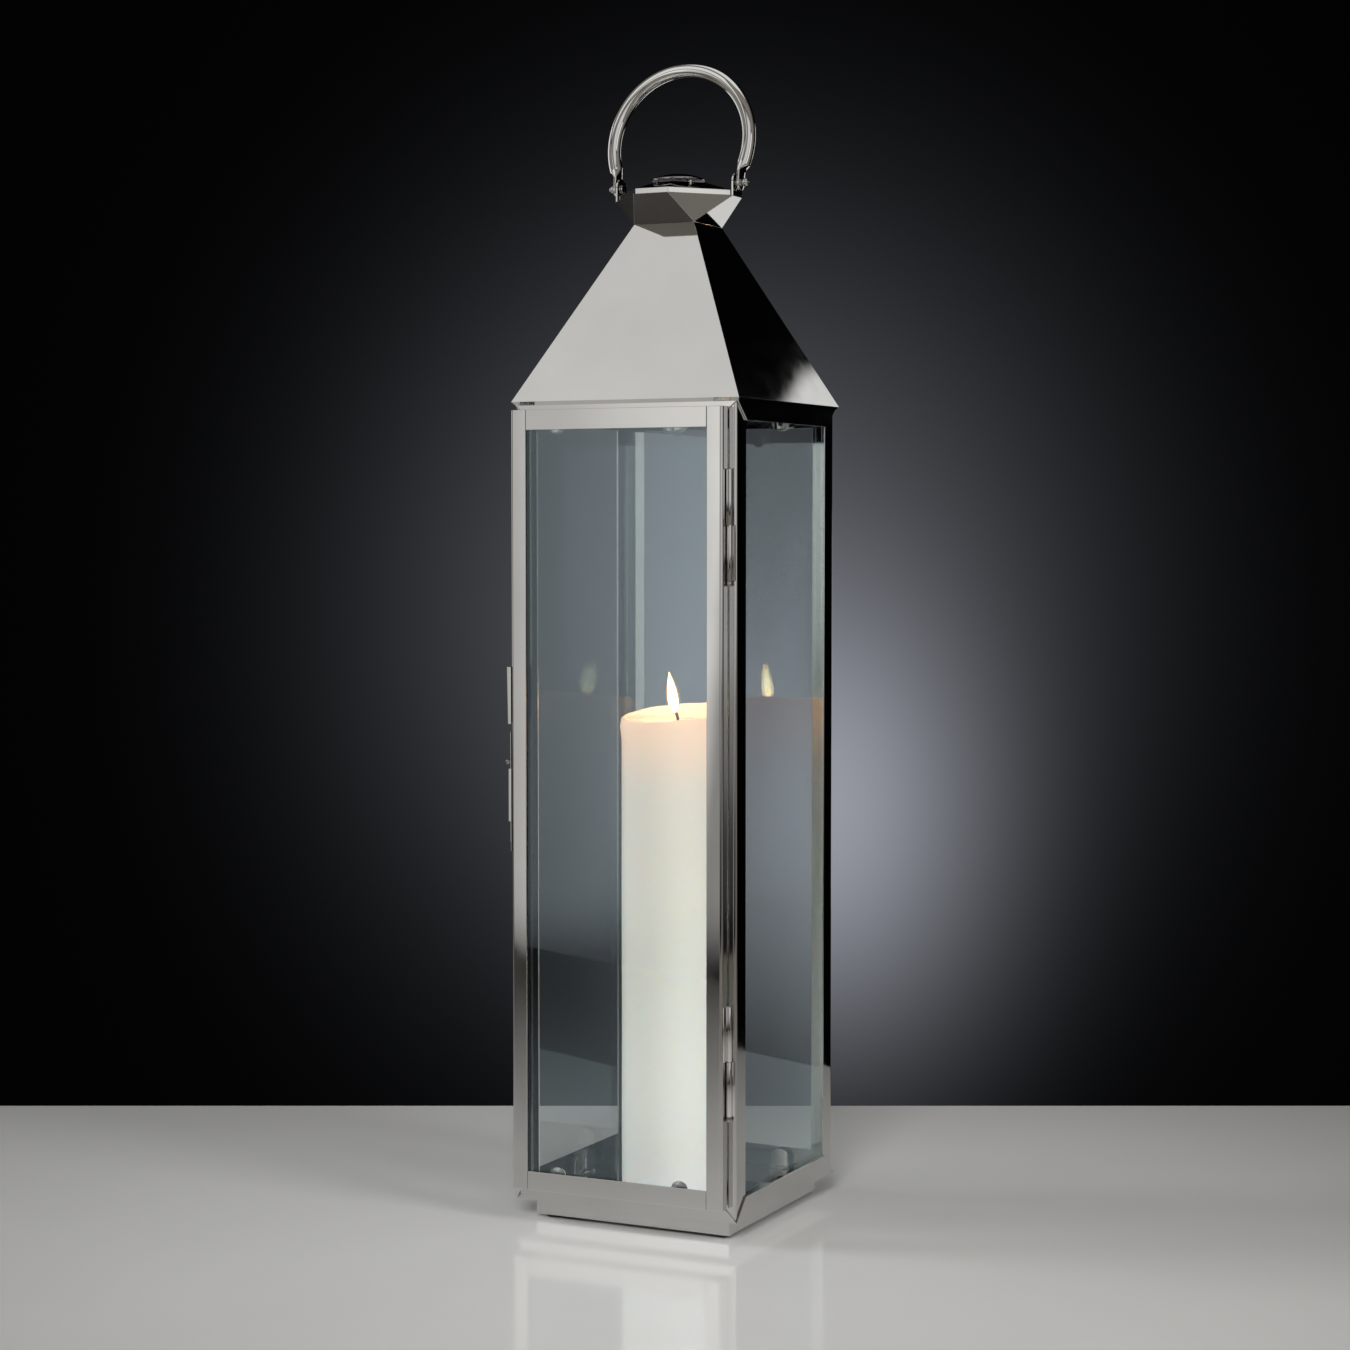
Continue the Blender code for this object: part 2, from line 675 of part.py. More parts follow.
def make_door():
    """Door frame of two stiles and two rails, its pane and the four tabs that hold the pane."""
    axis = make_axis("door_hinge_axis", (HINGE_X, HINGE_Y, 0.0))
    front_in = DOOR_FRONT + SHEET
    glass_front = front_in + GAP
    glass_back = glass_front + PANE
    left_in = DOOR_LEFT + DOOR_STILE
    right_in = DOOR_RIGHT - DOOR_STILE
    for name, edge, wall, free in (
        ("door_stile_left", DOOR_LEFT, DOOR_LEFT + SHEET, left_in),
        ("door_stile_right", DOOR_RIGHT, DOOR_RIGHT - SHEET, right_in),
    ):
        outline = [
            (edge, DOOR_BACK),
            (edge, DOOR_FRONT),
            (free, DOOR_FRONT),
            (free, front_in),
            (wall, front_in),
            (wall, DOOR_BACK),
        ]
        stile = make_object(name, prism(outline, "Z", DOOR_BOTTOM, DOOR_TOP), POLISHED_STEEL)
        hang_on(stile, axis)
    for name, edge, wall, free in (
        ("door_rail_bottom", DOOR_BOTTOM, DOOR_BOTTOM + SHEET, DOOR_BOTTOM + DOOR_BOTTOM_RAIL),
        ("door_rail_top", DOOR_TOP, DOOR_TOP - SHEET, DOOR_TOP - DOOR_TOP_RAIL),
    ):
        face_left = left_in + GAP
        face_right = right_in - GAP
        outline = [
            (DOOR_BACK, edge),
            (DOOR_FRONT, edge),
            (DOOR_FRONT, free),
            (front_in, free),
            (front_in, wall),
            (DOOR_BACK, wall),
        ]
        rail = make_object(name, prism(outline, "X", face_left, face_right), POLISHED_STEEL)
        hang_on(rail, axis)

    low = (DOOR_LEFT + SHEET + GAP, glass_front, DOOR_BOTTOM + SHEET + GAP)
    high = (DOOR_RIGHT - SHEET - GAP, glass_back, DOOR_TOP - SHEET - GAP)
    hang_on(make_object("door_glass", block(low, high), CLEAR_GLASS), axis)

    middle = (DOOR_LEFT + DOOR_RIGHT) / 2
    foot = DOOR_BACK - (glass_back + GAP) - 0.0002
    for side, sign in (("left", -1), ("right", 1)):
        for level, z, flip in (("bottom", low[2], 0.0), ("top", high[2], math.pi)):
            bm = clip_mesh(DOOR_CLIP_WIDTH, DOOR_CLIP_REACH, foot)
            clip = make_object(f"door_clip_{level}_{side}", bm, POLISHED_STEEL, math.radians(30))
            clip.rotation_euler = (0.0, flip, 0.0)
            place = Vector((middle + sign * DOOR_CLIP_OFFSET, glass_back + GAP, z))
            clip.location = place - axis.location
            clip.parent = axis
    return axis


def hinge_leaf(name, leaf_outline, low, high):
    """Knuckle with its leaf; the bore is cut right through."""
    bm = bmesh.new()
    bmesh.ops.create_cone(
        bm,
        cap_ends=True,
        segments=HINGE_SEGMENTS,
        radius1=HINGE_BARREL,
        radius2=HINGE_BARREL,
        depth=high - low,
    )
    bmesh.ops.translate(bm, verts=bm.verts, vec=(HINGE_X, HINGE_Y, (low + high) / 2))
    leaf = make_object(name, bm, POLISHED_STEEL, math.radians(40))
    plate = make_object(f"{name}_guide", prism(leaf_outline, "Z", low, high), None)
    combine(leaf, plate, "UNION")
    middle = (HINGE_X, HINGE_Y, (low + high) / 2)
    bore = tool_cylinder(f"{name}_bore", HINGE_BORE, "Z", middle, (high - low) / 2 + OVER)
    combine(leaf, bore, "DIFFERENCE")
    return leaf


def make_hinges(axis):
    """Two butt hinges: the upper knuckle is the door's, the lower one is the post's."""
    door_face = DOOR_RIGHT + GAP
    post_face = -POST_HALF - GAP
    door_outline = [
        (door_face, DOOR_FRONT + LEAF_SETBACK),
        (door_face + HINGE_LEAF, DOOR_FRONT + LEAF_SETBACK),
        (door_face + HINGE_LEAF, HINGE_Y),
        (door_face, HINGE_Y),
    ]
    post_outline = [
        (HINGE_X, post_face),
        (HINGE_X, post_face - HINGE_LEAF),
        (POST_HALF - POST_LEAF_SETBACK, post_face - HINGE_LEAF),
        (POST_HALF - POST_LEAF_SETBACK, post_face),
    ]
    for which, top in HINGE_TOPS.items():
        bottom = top - HINGE_LENGTH
        middle = (top + bottom) / 2
        upper = hinge_leaf(f"hinge_{which}_door_leaf", door_outline, middle + GAP, top)
        hang_on(upper, axis)
        hinge_leaf(f"hinge_{which}_post_leaf", post_outline, bottom, middle)
        finial = bottom - GAP - FINIAL_LENGTH
        profile = [
            (0.0, top + PIN_TIP),
            (HINGE_PIN, top + PIN_TIP / 2),
            (HINGE_PIN, bottom - GAP),
            (HINGE_BARREL, bottom - GAP),
            (HINGE_BARREL, finial + FINIAL_EDGE),
            (HINGE_BARREL - FINIAL_EDGE, finial),
            (0.0, finial),
        ]
        bm = turned(profile, HINGE_SEGMENTS)
        pin = make_object(f"hinge_{which}_pin", bm, DARK_STEEL, math.radians(40))
        pin.location = (HINGE_X, HINGE_Y, 0.0)


def make_latch(axis):
    """Flat bolt in a housing on the door's left wall, with a knob, and a keeper on the post."""
    front = BOLT_Y - LATCH_HALF
    back = BOLT_Y + LATCH_HALF
    body = block((LATCH_FRONT_X, front, LATCH_BOTTOM), (LATCH_BACK_X, back, LATCH_TOP))
    housing = make_object("latch_housing", body, POLISHED_STEEL)
    slot_half = BOLT_HALF + GAP
    slot = block(
        (SLOT_OUT_X, BOLT_Y - slot_half, LATCH_BOTTOM - OVER),
        (SLOT_IN_X, BOLT_Y + slot_half, LATCH_TOP + OVER),
    )
    # below the step the housing is only a flat plate, so that the bolt shows
    step = block(
        (LATCH_FRONT_X - OVER, front - OVER, LATCH_BOTTOM - OVER),
        (SLOT_IN_X, back + OVER, LATCH_STEP),
    )
    combine(housing, make_object("latch_slot_cutter", slot, None), "DIFFERENCE")
    combine(housing, make_object("latch_step_cutter", step, None), "DIFFERENCE")
    hang_on(housing, axis)

    body = block(
        (BOLT_OUT_X, BOLT_Y - BOLT_HALF, BOLT_BOTTOM), (BOLT_IN_X, BOLT_Y + BOLT_HALF, BOLT_TOP)
    )
    bolt = make_object("latch_bolt", body, POLISHED_STEEL)
    hang_on(bolt, axis)

    stem_end = BOLT_OUT_X - GAP
    ball_x = stem_end - KNOB_STANDOFF - KNOB_RADIUS
    joint = math.acos(KNOB_STEM / KNOB_RADIUS)
    profile = [
        (0.0, -stem_end),
        (KNOB_STEM, -stem_end),
        *arc(KNOB_RADIUS, -ball_x, -joint, math.radians(80), 8),
        (0.0, -ball_x + KNOB_RADIUS),
    ]
    bm = turned(profile, HINGE_SEGMENTS)
    knob = make_object("latch_knob", bm, DARK_STEEL, math.radians(40))
    knob.rotation_euler = (0.0, -math.pi / 2, 0.0)
    knob.location = Vector((0.0, BOLT_Y, KNOB_Z)) - axis.location
    knob.parent = axis

    lip_y = BOLT_Y - BOLT_HALF - KEEPER_LIP_GAP
    post_side = -POST_HALF - GAP
    shoulder_y = -POST_HALF + KEEPER_OVER_POST
    inner = BOLT_OUT_X - GAP
    lip_x = DOOR_LEFT - GAP
    loops = []
    for z, wall in ((KEEPER_BOTTOM, KEEPER_WALL_LOW), (KEEPER_TOP, KEEPER_WALL_HIGH)):
        outline = [
            (post_side, KEEPER_END_Y),
            (post_side, shoulder_y),
            (inner, shoulder_y),
            (inner, lip_y),
            (lip_x, lip_y),
            (lip_x, lip_y - KEEPER_LIP),
            (BOLT_OUT_X - wall, lip_y - KEEPER_LIP),
            (BOLT_OUT_X - wall, KEEPER_END_Y),
        ]
        loops.append([(x, y, z) for x, y in outline])
    make_object("latch_keeper", loft(loops), POLISHED_STEEL)


def make_candle():
    """Pillar candle with a dished top, and its wick in a hole in the middle."""
    hole = WICK_RADIUS + GAP
    profile = [
        (0.0, CANDLE_POOL - WICK_DEPTH),
        (hole, CANDLE_POOL - WICK_DEPTH),
        (hole, CANDLE_POOL),
        *((share * CANDLE_RADIUS, z) for share, z in CANDLE_DISH),
        (CANDLE_RADIUS, CANDLE_BOTTOM + CANDLE_EDGE),
        (CANDLE_RADIUS - CANDLE_EDGE, CANDLE_BOTTOM),
        (0.0, CANDLE_BOTTOM),
    ]
    make_object("candle", turned(profile, CANDLE_SEGMENTS), IVORY_WAX, math.radians(35))
    low = CANDLE_POOL - WICK_DEPTH + GAP
    profile = [
        (0.0, low),
        (WICK_RADIUS, low),
        (WICK_RADIUS, WICK_TOP - WICK_EDGE),
        (WICK_RADIUS * 0.6, WICK_TOP),
        (0.0, WICK_TOP),
    ]
    make_object("wick", turned(profile, 12), BURNT_COTTON, math.radians(40))


def main():
    clear_scene()
    make_base()
    make_posts()
    make_panes()
    make_clips()
    make_roof()
    make_crown()
    make_handle()
    axis = make_door()
    make_hinges(axis)
    make_latch(axis)
    make_candle()


main()
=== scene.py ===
import json
import math

import bmesh
import bpy
from mathutils import Matrix, Vector, noise


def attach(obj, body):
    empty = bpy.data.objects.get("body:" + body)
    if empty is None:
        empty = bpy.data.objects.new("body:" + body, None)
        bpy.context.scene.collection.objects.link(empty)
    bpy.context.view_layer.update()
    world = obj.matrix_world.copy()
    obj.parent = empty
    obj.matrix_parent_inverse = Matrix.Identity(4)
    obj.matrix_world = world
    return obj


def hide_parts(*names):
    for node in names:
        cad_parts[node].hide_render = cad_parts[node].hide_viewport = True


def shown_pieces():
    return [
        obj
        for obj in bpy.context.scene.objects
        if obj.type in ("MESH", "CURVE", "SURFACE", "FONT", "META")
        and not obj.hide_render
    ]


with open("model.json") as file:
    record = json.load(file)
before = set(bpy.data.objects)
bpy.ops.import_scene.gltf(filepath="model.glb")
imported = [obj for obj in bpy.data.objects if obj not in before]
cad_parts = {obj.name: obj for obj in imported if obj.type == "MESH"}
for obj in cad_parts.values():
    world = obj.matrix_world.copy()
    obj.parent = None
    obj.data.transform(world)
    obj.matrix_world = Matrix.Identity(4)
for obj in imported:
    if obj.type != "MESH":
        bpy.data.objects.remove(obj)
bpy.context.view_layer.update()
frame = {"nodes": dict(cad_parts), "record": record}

# Camera, at the photograph's viewing angle
CAMERA_PLACE = Vector((1.0660, -2.2058, 0.5966))
CAMERA_TILT = 0.051167  # below the horizontal
CAMERA_TURN = 0.451381
CAMERA_LENS = 74.45
VIEW = Vector((-math.sin(CAMERA_TURN), math.cos(CAMERA_TURN), 0.0))
SIDE = Vector((VIEW.y, -VIEW.x, 0.0))  # to the right in the picture

# Bevels: width and segments
SHEET_EDGE = (0.0004, 2)
FOLD_EDGE = (0.00055, 3)
PANE_EDGE = (0.0004, 2)
FINE_EDGE = (0.0002, 2)
CORNER_EDGE = (0.0026, 7)  # the rounded fold down an outer corner
SHARP_ANGLE = math.radians(24)  # sharper edges than this get a bevel
ROUND_ANGLE = math.radians(40)  # sharper edges than this stay hard on curved pieces
FLAT_ANGLE = math.radians(0.6)  # CAD triangles as flat as this to each other become one face again
MERGE_WITHIN = 2e-6
CORNER_WITHIN = 1e-4
UPRIGHT_SHARE = 0.8  # of a post's or stile's height
FACE_WEIGHT = 60
CLOSING_RADIUS = 0.0002  # of the tiny flats that close a turned piece at its axis
CHAMFER = 0.0003
BALL_END = math.radians(87)

# Handle, pins, vent dome and latch knob
PIVOT_Z = 0.8975
HANDLE_LEAN = math.radians(-8.0)
HANDLE_RADIUS = 0.065
HANDLE_CENTRE = 0.0375  # above the pivot
HANDLE_BAR = 0.0059  # half its thickness
HANDLE_BELOW = math.radians(18.0)
HANDLE_SIDES = 56
HANDLE_ARC_STEPS = 120
NECK_STEPS = 14
TAB_TOP = 0.0092  # above the pivot
TAB_MIDDLE = 0.0045
TAB_END_STEPS = 12
TAB_END_OPEN = 0.35  # of a step, so that the tab ends in a face and not in a point
ROUND_BAR = 1.0  # how round a cross-section is: a circle, or nearly a rectangle
FLAT_TAB = 0.5
TAB_X = 0.0595
TAB_HALF = 0.0015
TAB_WIDTH_HALF = 0.0068
TAB_BELOW = 0.0072
PIN_RADIUS = 0.0023
PIN_HOLE = 0.0026
DRILL_SIDES = 40
DRILL_LENGTH = 2.4 * TAB_X
PIN_BALL = 0.0034
PIN_HEAD = 0.0036
PIN_HEAD_IN = 0.0547
PIN_HEAD_THICK = 0.0012
PIN_HEAD_CHAMFER = 0.0002
PIN_GAP = 0.0003
PIN_SIDES = 48
DOME_RADIUS = 0.0235
DOME_LOW = 0.9015
DOME_RIM = 0.0012
DOME_RISE = 0.0050
DOME_LIP = 0.0004
DOME_TOP = math.radians(89.8)
DOME_SIDES = 96
KNOB_PLACE = Vector((0.0, -0.1105, 0.399))
KNOB_START = 0.1059
KNOB_BALL = 0.1093
KNOB_RADIUS = 0.0024
KNOB_STEM = 0.0012
KNOB_SIDES = 40

# Candle: the rim's height is the CAD's, and the drop, tilt and waver are added to it
CANDLE_RADIUS = 0.0500
CANDLE_FOOT = 0.0201
CANDLE_RIM = 0.4415
CANDLE_POOL = 0.4312
CANDLE_SEGMENTS = 144
WALL_ROWS = 56
WALL_START = 0.0022  # above the foot
WALL_END = 0.0040
WALL_SHARE = 0.98  # of the radius; the rows outside it are the wall's
RIM_DROP = 0.0030
RIM_TILT = 0.0060
RIM_WAVER = 0.0010
RIM_HIGH_TURN = math.radians(70.9)
WALL_CLIMB = (0.050, 0.060)  # how far below the pool the tilt begins, and over what height it grows
POOL_CLIMB = (0.0, 0.010)
SWELL_DEPTH = 0.00035
SWELL_ROUND = 1.6
SWELL_UP = 9.0
FINE_DEPTH = 0.00010
FINE_ROUND = 6.0
FINE_UP = 60.0
FINE_START = 7.0
WAVER_ROUND = 2.2
WAVER_START = 3.0
TOP_REACH = 0.030  # the wall is rougher this far below the rim
TOP_DEPTH = 0.0004
LIP_TURN = math.radians(204)
LIP_WIDTH = 0.30
LIP_BELOW = 0.010
LIP_HEIGHT = 0.0075
LIP_DEPTH = 0.0014
MELT_BELOW = 0.004  # below the pool, where the melted wax begins
MELT_SHARE = 0.90
# Painted glow of flame light on the wax: emission that stands in for the flame's light shining into it
PAINTED_GLOW_NEAR = 0.012  # the wax glows most this near to a point low in the flame, not from PAINTED_GLOW_FAR on
PAINTED_GLOW_FAR = 0.125
# strength of the painted glow on the wax wall and on the melted pool
PAINTED_GLOW_WALL = 0.62
PAINTED_GLOW_MELT = 0.25

# Wick and flame
WICK_RADIUS = 0.00125
WICK_ROOT = 0.004  # below the pool
WICK_STEPS = 16
WICK_SIDES = 14
WICK_TOP = 0.4400
WICK_BEND = 0.0026
WICK_BRAID = 0.10
WICK_BRAID_TURN = 34.0
WICK_TAPER = 0.55
WICK_TAPER_FROM = 0.85
EMBER_HEIGHT = 0.0030
FLAME_STEPS = 30
FLAME_SIDES = 28
FLAME_LOW_SWELL = 0.62  # below 1 the flame is widest low down
FLAME_BLUNT = 0.85
FLAME_STRETCH = 0.05
FLAME_TIP = 0.00012
FLAME_GLOW_UP = 0.012
FLAME_FOOT = 0.4378
FLAME_HEIGHT = 0.0362
FLAME_RADIUS = 0.0050
FLAME_FOOT_OFF = 0.0030
FLAME_LEAN = 0.0052

# Glass, floor, lamps and background
PANE_SHINE = 0.078  # share that a pane reflects seen square on
PANE_SLANT_POWER = 5.0
FLOOR_BEHIND = 0.43
FLOOR_BEFORE = 1.0
FLOOR_HALF = 3.2
LAMP_SIZE = 0.8
WHITE = (1.0, 1.0, 1.0)
WARM_WHITE = (1.0, 0.99, 0.97)
CREAM_WHITE = (1.0, 0.995, 0.98)
COOL_WHITE = (0.97, 0.985, 1.0)
FLAME_LIGHT = (1.0, 0.62, 0.30)
FLAME_LIGHT_POWER = 0.05
FLAME_LIGHT_SIZE = 0.004
FLAME_LIGHT_UP = 0.020
FLAME_LIGHT_ASIDE = 0.005
BLACK = (0.0, 0.0, 0.0)
NIGHT = (0.0008, 0.0008, 0.0009)
BROAD_GLOW = (0.089, 0.093, 0.106)
TIGHT_GLOW = (0.256, 0.268, 0.306)
WALLS = (0.215, 0.200, 0.180)
WALLS_FULL = -0.05  # a direction's Y, up to which the walls are fully lit; dark from WALLS_END on
WALLS_END = 0.72


# ---------------------------------------------------------------- node materials

def add(tree, kind, inputs=None, **settings):
    """Add a node; an input is a value or another node's output."""
    made = tree.nodes.new(kind)
    for key, value in settings.items():
        setattr(made, key, value)
    for socket, value in (inputs or {}).items():
        if isinstance(value, bpy.types.NodeSocket):
            tree.links.new(value, made.inputs[socket])
        else:
            made.inputs[socket].default_value = value
    return made


def new_material(name):
    material = bpy.data.materials.new(name)
    material.use_nodes = True
    material.node_tree.nodes.clear()
    return material, material.node_tree


def surface(tree, shader):
    output = tree.nodes.new("ShaderNodeOutputMaterial")
    tree.links.new(shader, output.inputs["Surface"])


def place_of(tree):
    return add(tree, "ShaderNodeTexCoord").outputs["Object"]


def noise_of(tree, place, scale, detail=2.0):
    inputs = {"Vector": place, "Scale": scale, "Detail": detail}
    return add(tree, "ShaderNodeTexNoise", inputs).outputs[0]


def maths(tree, operation, *values):
    return add(tree, "ShaderNodeMath", dict(enumerate(values)), operation=operation).outputs[0]


def dot(tree, vector, way):
    inputs = {0: vector, 1: way}
    return add(tree, "ShaderNodeVectorMath", inputs, operation="DOT_PRODUCT").outputs["Value"]


def spread(tree, value, low, high, start=0.3, end=0.7, smooth=False):
    """Map start..end of a value onto low..high."""
    inputs = {
        "Value": value,
        "From Min": start,
        "From Max": end,
        "To Min": low,
        "To Max": high,
    }
    kind = "SMOOTHSTEP" if smooth else "LINEAR"
    return add(tree, "ShaderNodeMapRange", inputs, interpolation_type=kind).outputs["Result"]


def ramp(tree, value, stops):
    made = add(tree, "ShaderNodeValToRGB", {"Fac": value})
    elements = made.color_ramp.elements
    while len(elements) < len(stops):
        elements.new(0.5)
    for element, (where, colour) in zip(elements, stops):
        element.position = where
        element.color = (*colour, 1.0)
    return made.outputs["Color"]


def height_of(tree, place):
    return add(tree, "ShaderNodeSeparateXYZ", {"Vector": place}).outputs["Z"]


def steel(name, dark, light, rough, wave):
    """Mirror polished steel: faint clouding, fine wear in the gloss, sheet that isn't quite flat."""
    material, tree = new_material(name)
    place = place_of(tree)
    tone = ramp(tree, noise_of(tree, place, 11.0, 3.0), ((0.3, dark), (0.7, light)))
    gloss = spread(tree, noise_of(tree, place, 55.0, 4.0), rough[0], rough[1])
    inputs = {"Base Color": tone, "Metallic": 1.0, "Roughness": gloss}
    if wave > 0.0:
        swell = noise_of(tree, place, 4.5, 1.0)
        bump = add(tree, "ShaderNodeBump", {"Height": swell, "Strength": 1.0, "Distance": wave})
        inputs["Normal"] = bump.outputs["Normal"]
    surface(tree, add(tree, "ShaderNodeBsdfPrincipled", inputs).outputs["BSDF"])
    return material


def glass(name):
    """Float glass: clear, with a soft sheen that grows at a slant."""
    material, tree = new_material(name)
    place = place_of(tree)
    cloud = noise_of(tree, place, 3.0)
    cast = ramp(tree, cloud, ((0.3, (0.968, 0.980, 0.974)), (0.7, (0.978, 0.987, 0.982))))
    clear = add(tree, "ShaderNodeBsdfTransparent", {"Color": cast}).outputs["BSDF"]
    gloss = spread(tree, noise_of(tree, place, 20.0, 3.0), 0.0, 0.03)
    swell = noise_of(tree, place, 3.0, 0.0)
    bump = add(tree, "ShaderNodeBump", {"Height": swell, "Strength": 1.0, "Distance": 0.0006})
    sheen = add(
        tree,
        "ShaderNodeBsdfGlossy",
        {"Color": (0.76, 0.90, 1.0, 1.0), "Roughness": gloss, "Normal": bump.outputs["Normal"]},
    ).outputs["BSDF"]
    facing = add(tree, "ShaderNodeLayerWeight", {"Blend": 0.5}).outputs["Facing"]
    slant = maths(tree, "POWER", facing, PANE_SLANT_POWER)
    share = spread(tree, slant, PANE_SHINE, 1.0, 0.0, 1.0)
    mixed = add(tree, "ShaderNodeMixShader", {0: share, 1: clear, 2: sheen}).outputs["Shader"]
    surface(tree, mixed)
    return material


def wax(name, rough, melted):
    """Ivory wax, peach towards the rim, with a painted glow of flame light near the flame."""
    material, tree = new_material(name)
    place = place_of(tree)
    height = height_of(tree, place)
    mottle = noise_of(tree, place, 38.0, 4.0)
    rise = maths(tree, "MULTIPLY_ADD", mottle, 0.012, height)
    level = spread(tree, rise, 0.0, 1.0, 0.02, CANDLE_RIM)
    # Colour by height: palest at the foot, greyer in the middle, and peach towards the rim, where the
    # peach is painted flame light.
    tone = ramp(
        tree,
        level,
        (
            (0.0, (0.96, 0.96, 0.93)),
            (0.50, (0.85, 0.84, 0.79)),
            (0.86, (0.84, 0.77, 0.69)),
            (1.0, (0.86, 0.70, 0.57)),
        ),
    )
    # Painted glow: emission, strongest near a point low in the flame, that stands in for the flame's
    # light in the wax.
    flame = (0.0, 0.0, FLAME_FOOT + FLAME_GLOW_UP)
    away = add(
        tree, "ShaderNodeVectorMath", {0: place, 1: flame}, operation="DISTANCE"
    ).outputs["Value"]
    glow = spread(tree, away, 1.0, 0.0, PAINTED_GLOW_NEAR, PAINTED_GLOW_FAR, smooth=True)
    glow = maths(tree, "POWER", glow, 2.0)
    strength = maths(tree, "MULTIPLY", glow, PAINTED_GLOW_MELT if melted else PAINTED_GLOW_WALL)
    painted_glow_colour = ramp(tree, glow, ((0.0, (1.0, 0.30, 0.06)), (1.0, (1.0, 0.48, 0.20))))
    gloss = spread(tree, noise_of(tree, place, 60.0, 3.0), rough[0], rough[1])
    grain = noise_of(tree, place, 90.0, 5.0)
    bump = add(tree, "ShaderNodeBump", {"Height": grain, "Strength": 0.5, "Distance": 0.0004})
    inputs = {
        "Base Color": tone,
        "Roughness": gloss,
        "IOR": 1.44,
        "Subsurface Weight": 0.35,
        "Subsurface Radius": (1.0, 0.6, 0.35),
        "Subsurface Scale": 0.008,
        "Emission Color": painted_glow_colour,
        "Emission Strength": strength,
        "Normal": bump.outputs["Normal"],
    }
    surface(tree, add(tree, "ShaderNodeBsdfPrincipled", inputs).outputs["BSDF"])
    return material


def cotton(name):
    """Burnt wick with an ember at its tip."""
    material, tree = new_material(name)
    place = place_of(tree)
    fibre = noise_of(tree, place, 900.0, 3.0)
    tone = ramp(tree, fibre, ((0.3, (0.012, 0.009, 0.008)), (0.7, (0.09, 0.06, 0.045))))
    height = height_of(tree, place)
    ember = spread(tree, height, 0.0, 2.5, WICK_TOP - EMBER_HEIGHT, WICK_TOP, smooth=True)
    inputs = {
        "Base Color": tone,
        "Roughness": 0.9,
        "Emission Color": (1.0, 0.22, 0.05, 1.0),
        "Emission Strength": ember,
    }
    surface(tree, add(tree, "ShaderNodeBsdfPrincipled", inputs).outputs["BSDF"])
    return material


def rubber(name):
    """Dark rubber of the feet."""
    material, tree = new_material(name)
    place = place_of(tree)
    grain = noise_of(tree, place, 120.0, 4.0)
    tone = ramp(tree, grain, ((0.3, (0.016, 0.016, 0.017)), (0.7, (0.04, 0.04, 0.042))))
    gloss = spread(tree, noise_of(tree, place, 200.0, 3.0), 0.6, 0.85)
    inputs = {"Base Color": tone, "Roughness": gloss}
    surface(tree, add(tree, "ShaderNodeBsdfPrincipled", inputs).outputs["BSDF"])
    return material


def burning(name, stops, strength, cover=None):
    """Flame coloured by height. cover, where given, is how opaque it is at its foot and its tip."""
    material, tree = new_material(name)
    level = spread(
        tree, height_of(tree, place_of(tree)), 0.0, 1.0, FLAME_FOOT, FLAME_FOOT + FLAME_HEIGHT
    )
    tone = ramp(tree, level, stops)
    shine = add(tree, "ShaderNodeEmission", {"Color": tone, "Strength": strength}).outputs[0]
    if cover is None:
        surface(tree, shine)
        return material
    clear = add(tree, "ShaderNodeBsdfTransparent").outputs["BSDF"]
    share = spread(tree, level, cover[0], cover[1], 0.0, 1.0)
    surface(tree, add(tree, "ShaderNodeMixShader", {0: share, 1: clear, 2: shine}).outputs[0])
    return material


POLISHED = steel("polished_steel", (0.60, 0.592, 0.575), (0.66, 0.652, 0.635), (0.035, 0.075), 0.0022)
BAR = steel("bar_steel", (0.74, 0.73, 0.71), (0.80, 0.79, 0.77), (0.045, 0.08), 0.0)
TRIM = steel("trim_steel", (0.36, 0.35, 0.34), (0.46, 0.45, 0.44), (0.08, 0.14), 0.0)
PANE = glass("pane_glass")
WAX = wax("candle_wax", (0.38, 0.52), False)
MELTED_WAX = wax("melted_wax", (0.05, 0.12), True)
COTTON = cotton("wick_cotton")
RUBBER = rubber("foot_rubber")
FLAME_CORE = burning(
    "flame_core",
    (
        (0.0, (1.0, 0.42, 0.10)),
        (0.22, (1.0, 0.68, 0.30)),
        (0.45, (1.0, 0.78, 0.42)),
        (0.8, (1.0, 0.72, 0.34)),
        (1.0, (1.0, 0.52, 0.16)),
    ),
    12.0,
)
FLAME_EDGE = burning(
    "flame_edge",
    (
        (0.0, (0.25, 0.30, 1.0)),
        (0.18, (1.0, 0.42, 0.10)),
        (1.0, (1.0, 0.52, 0.14)),
    ),
    1.3,
    (0.12, 0.45),
)
FINISHES = {
    "polished_steel": POLISHED,
    "trim_steel": TRIM,
    "pane_glass": PANE,
    "foot_rubber": RUBBER,
}


# ---------------------------------------------------------------- pieces

def body_of_node(node):
    for body, nodes in frame["record"]["behaviour"]["bodies"].items():
        if node in nodes:
            return body
    raise ValueError(node)


def linked(name, bm, materials):
    mesh = bpy.data.meshes.new(name)
    bm.to_mesh(mesh)
    bm.free()
    obj = bpy.data.objects.new(name, mesh)
    bpy.context.scene.collection.objects.link(obj)
    for material in materials:
        mesh.materials.append(material)
    return obj


def bake_modifiers(obj):
    """Replace the object's mesh by what its modifiers make of it."""
    bpy.context.view_layer.update()
    shown = obj.evaluated_get(bpy.context.evaluated_depsgraph_get())
    mesh = bpy.data.meshes.new_from_object(shown)
    obj.modifiers.clear()
    obj.data = mesh


def stand_for(obj, node):
    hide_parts(node)
    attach(obj, body_of_node(node))


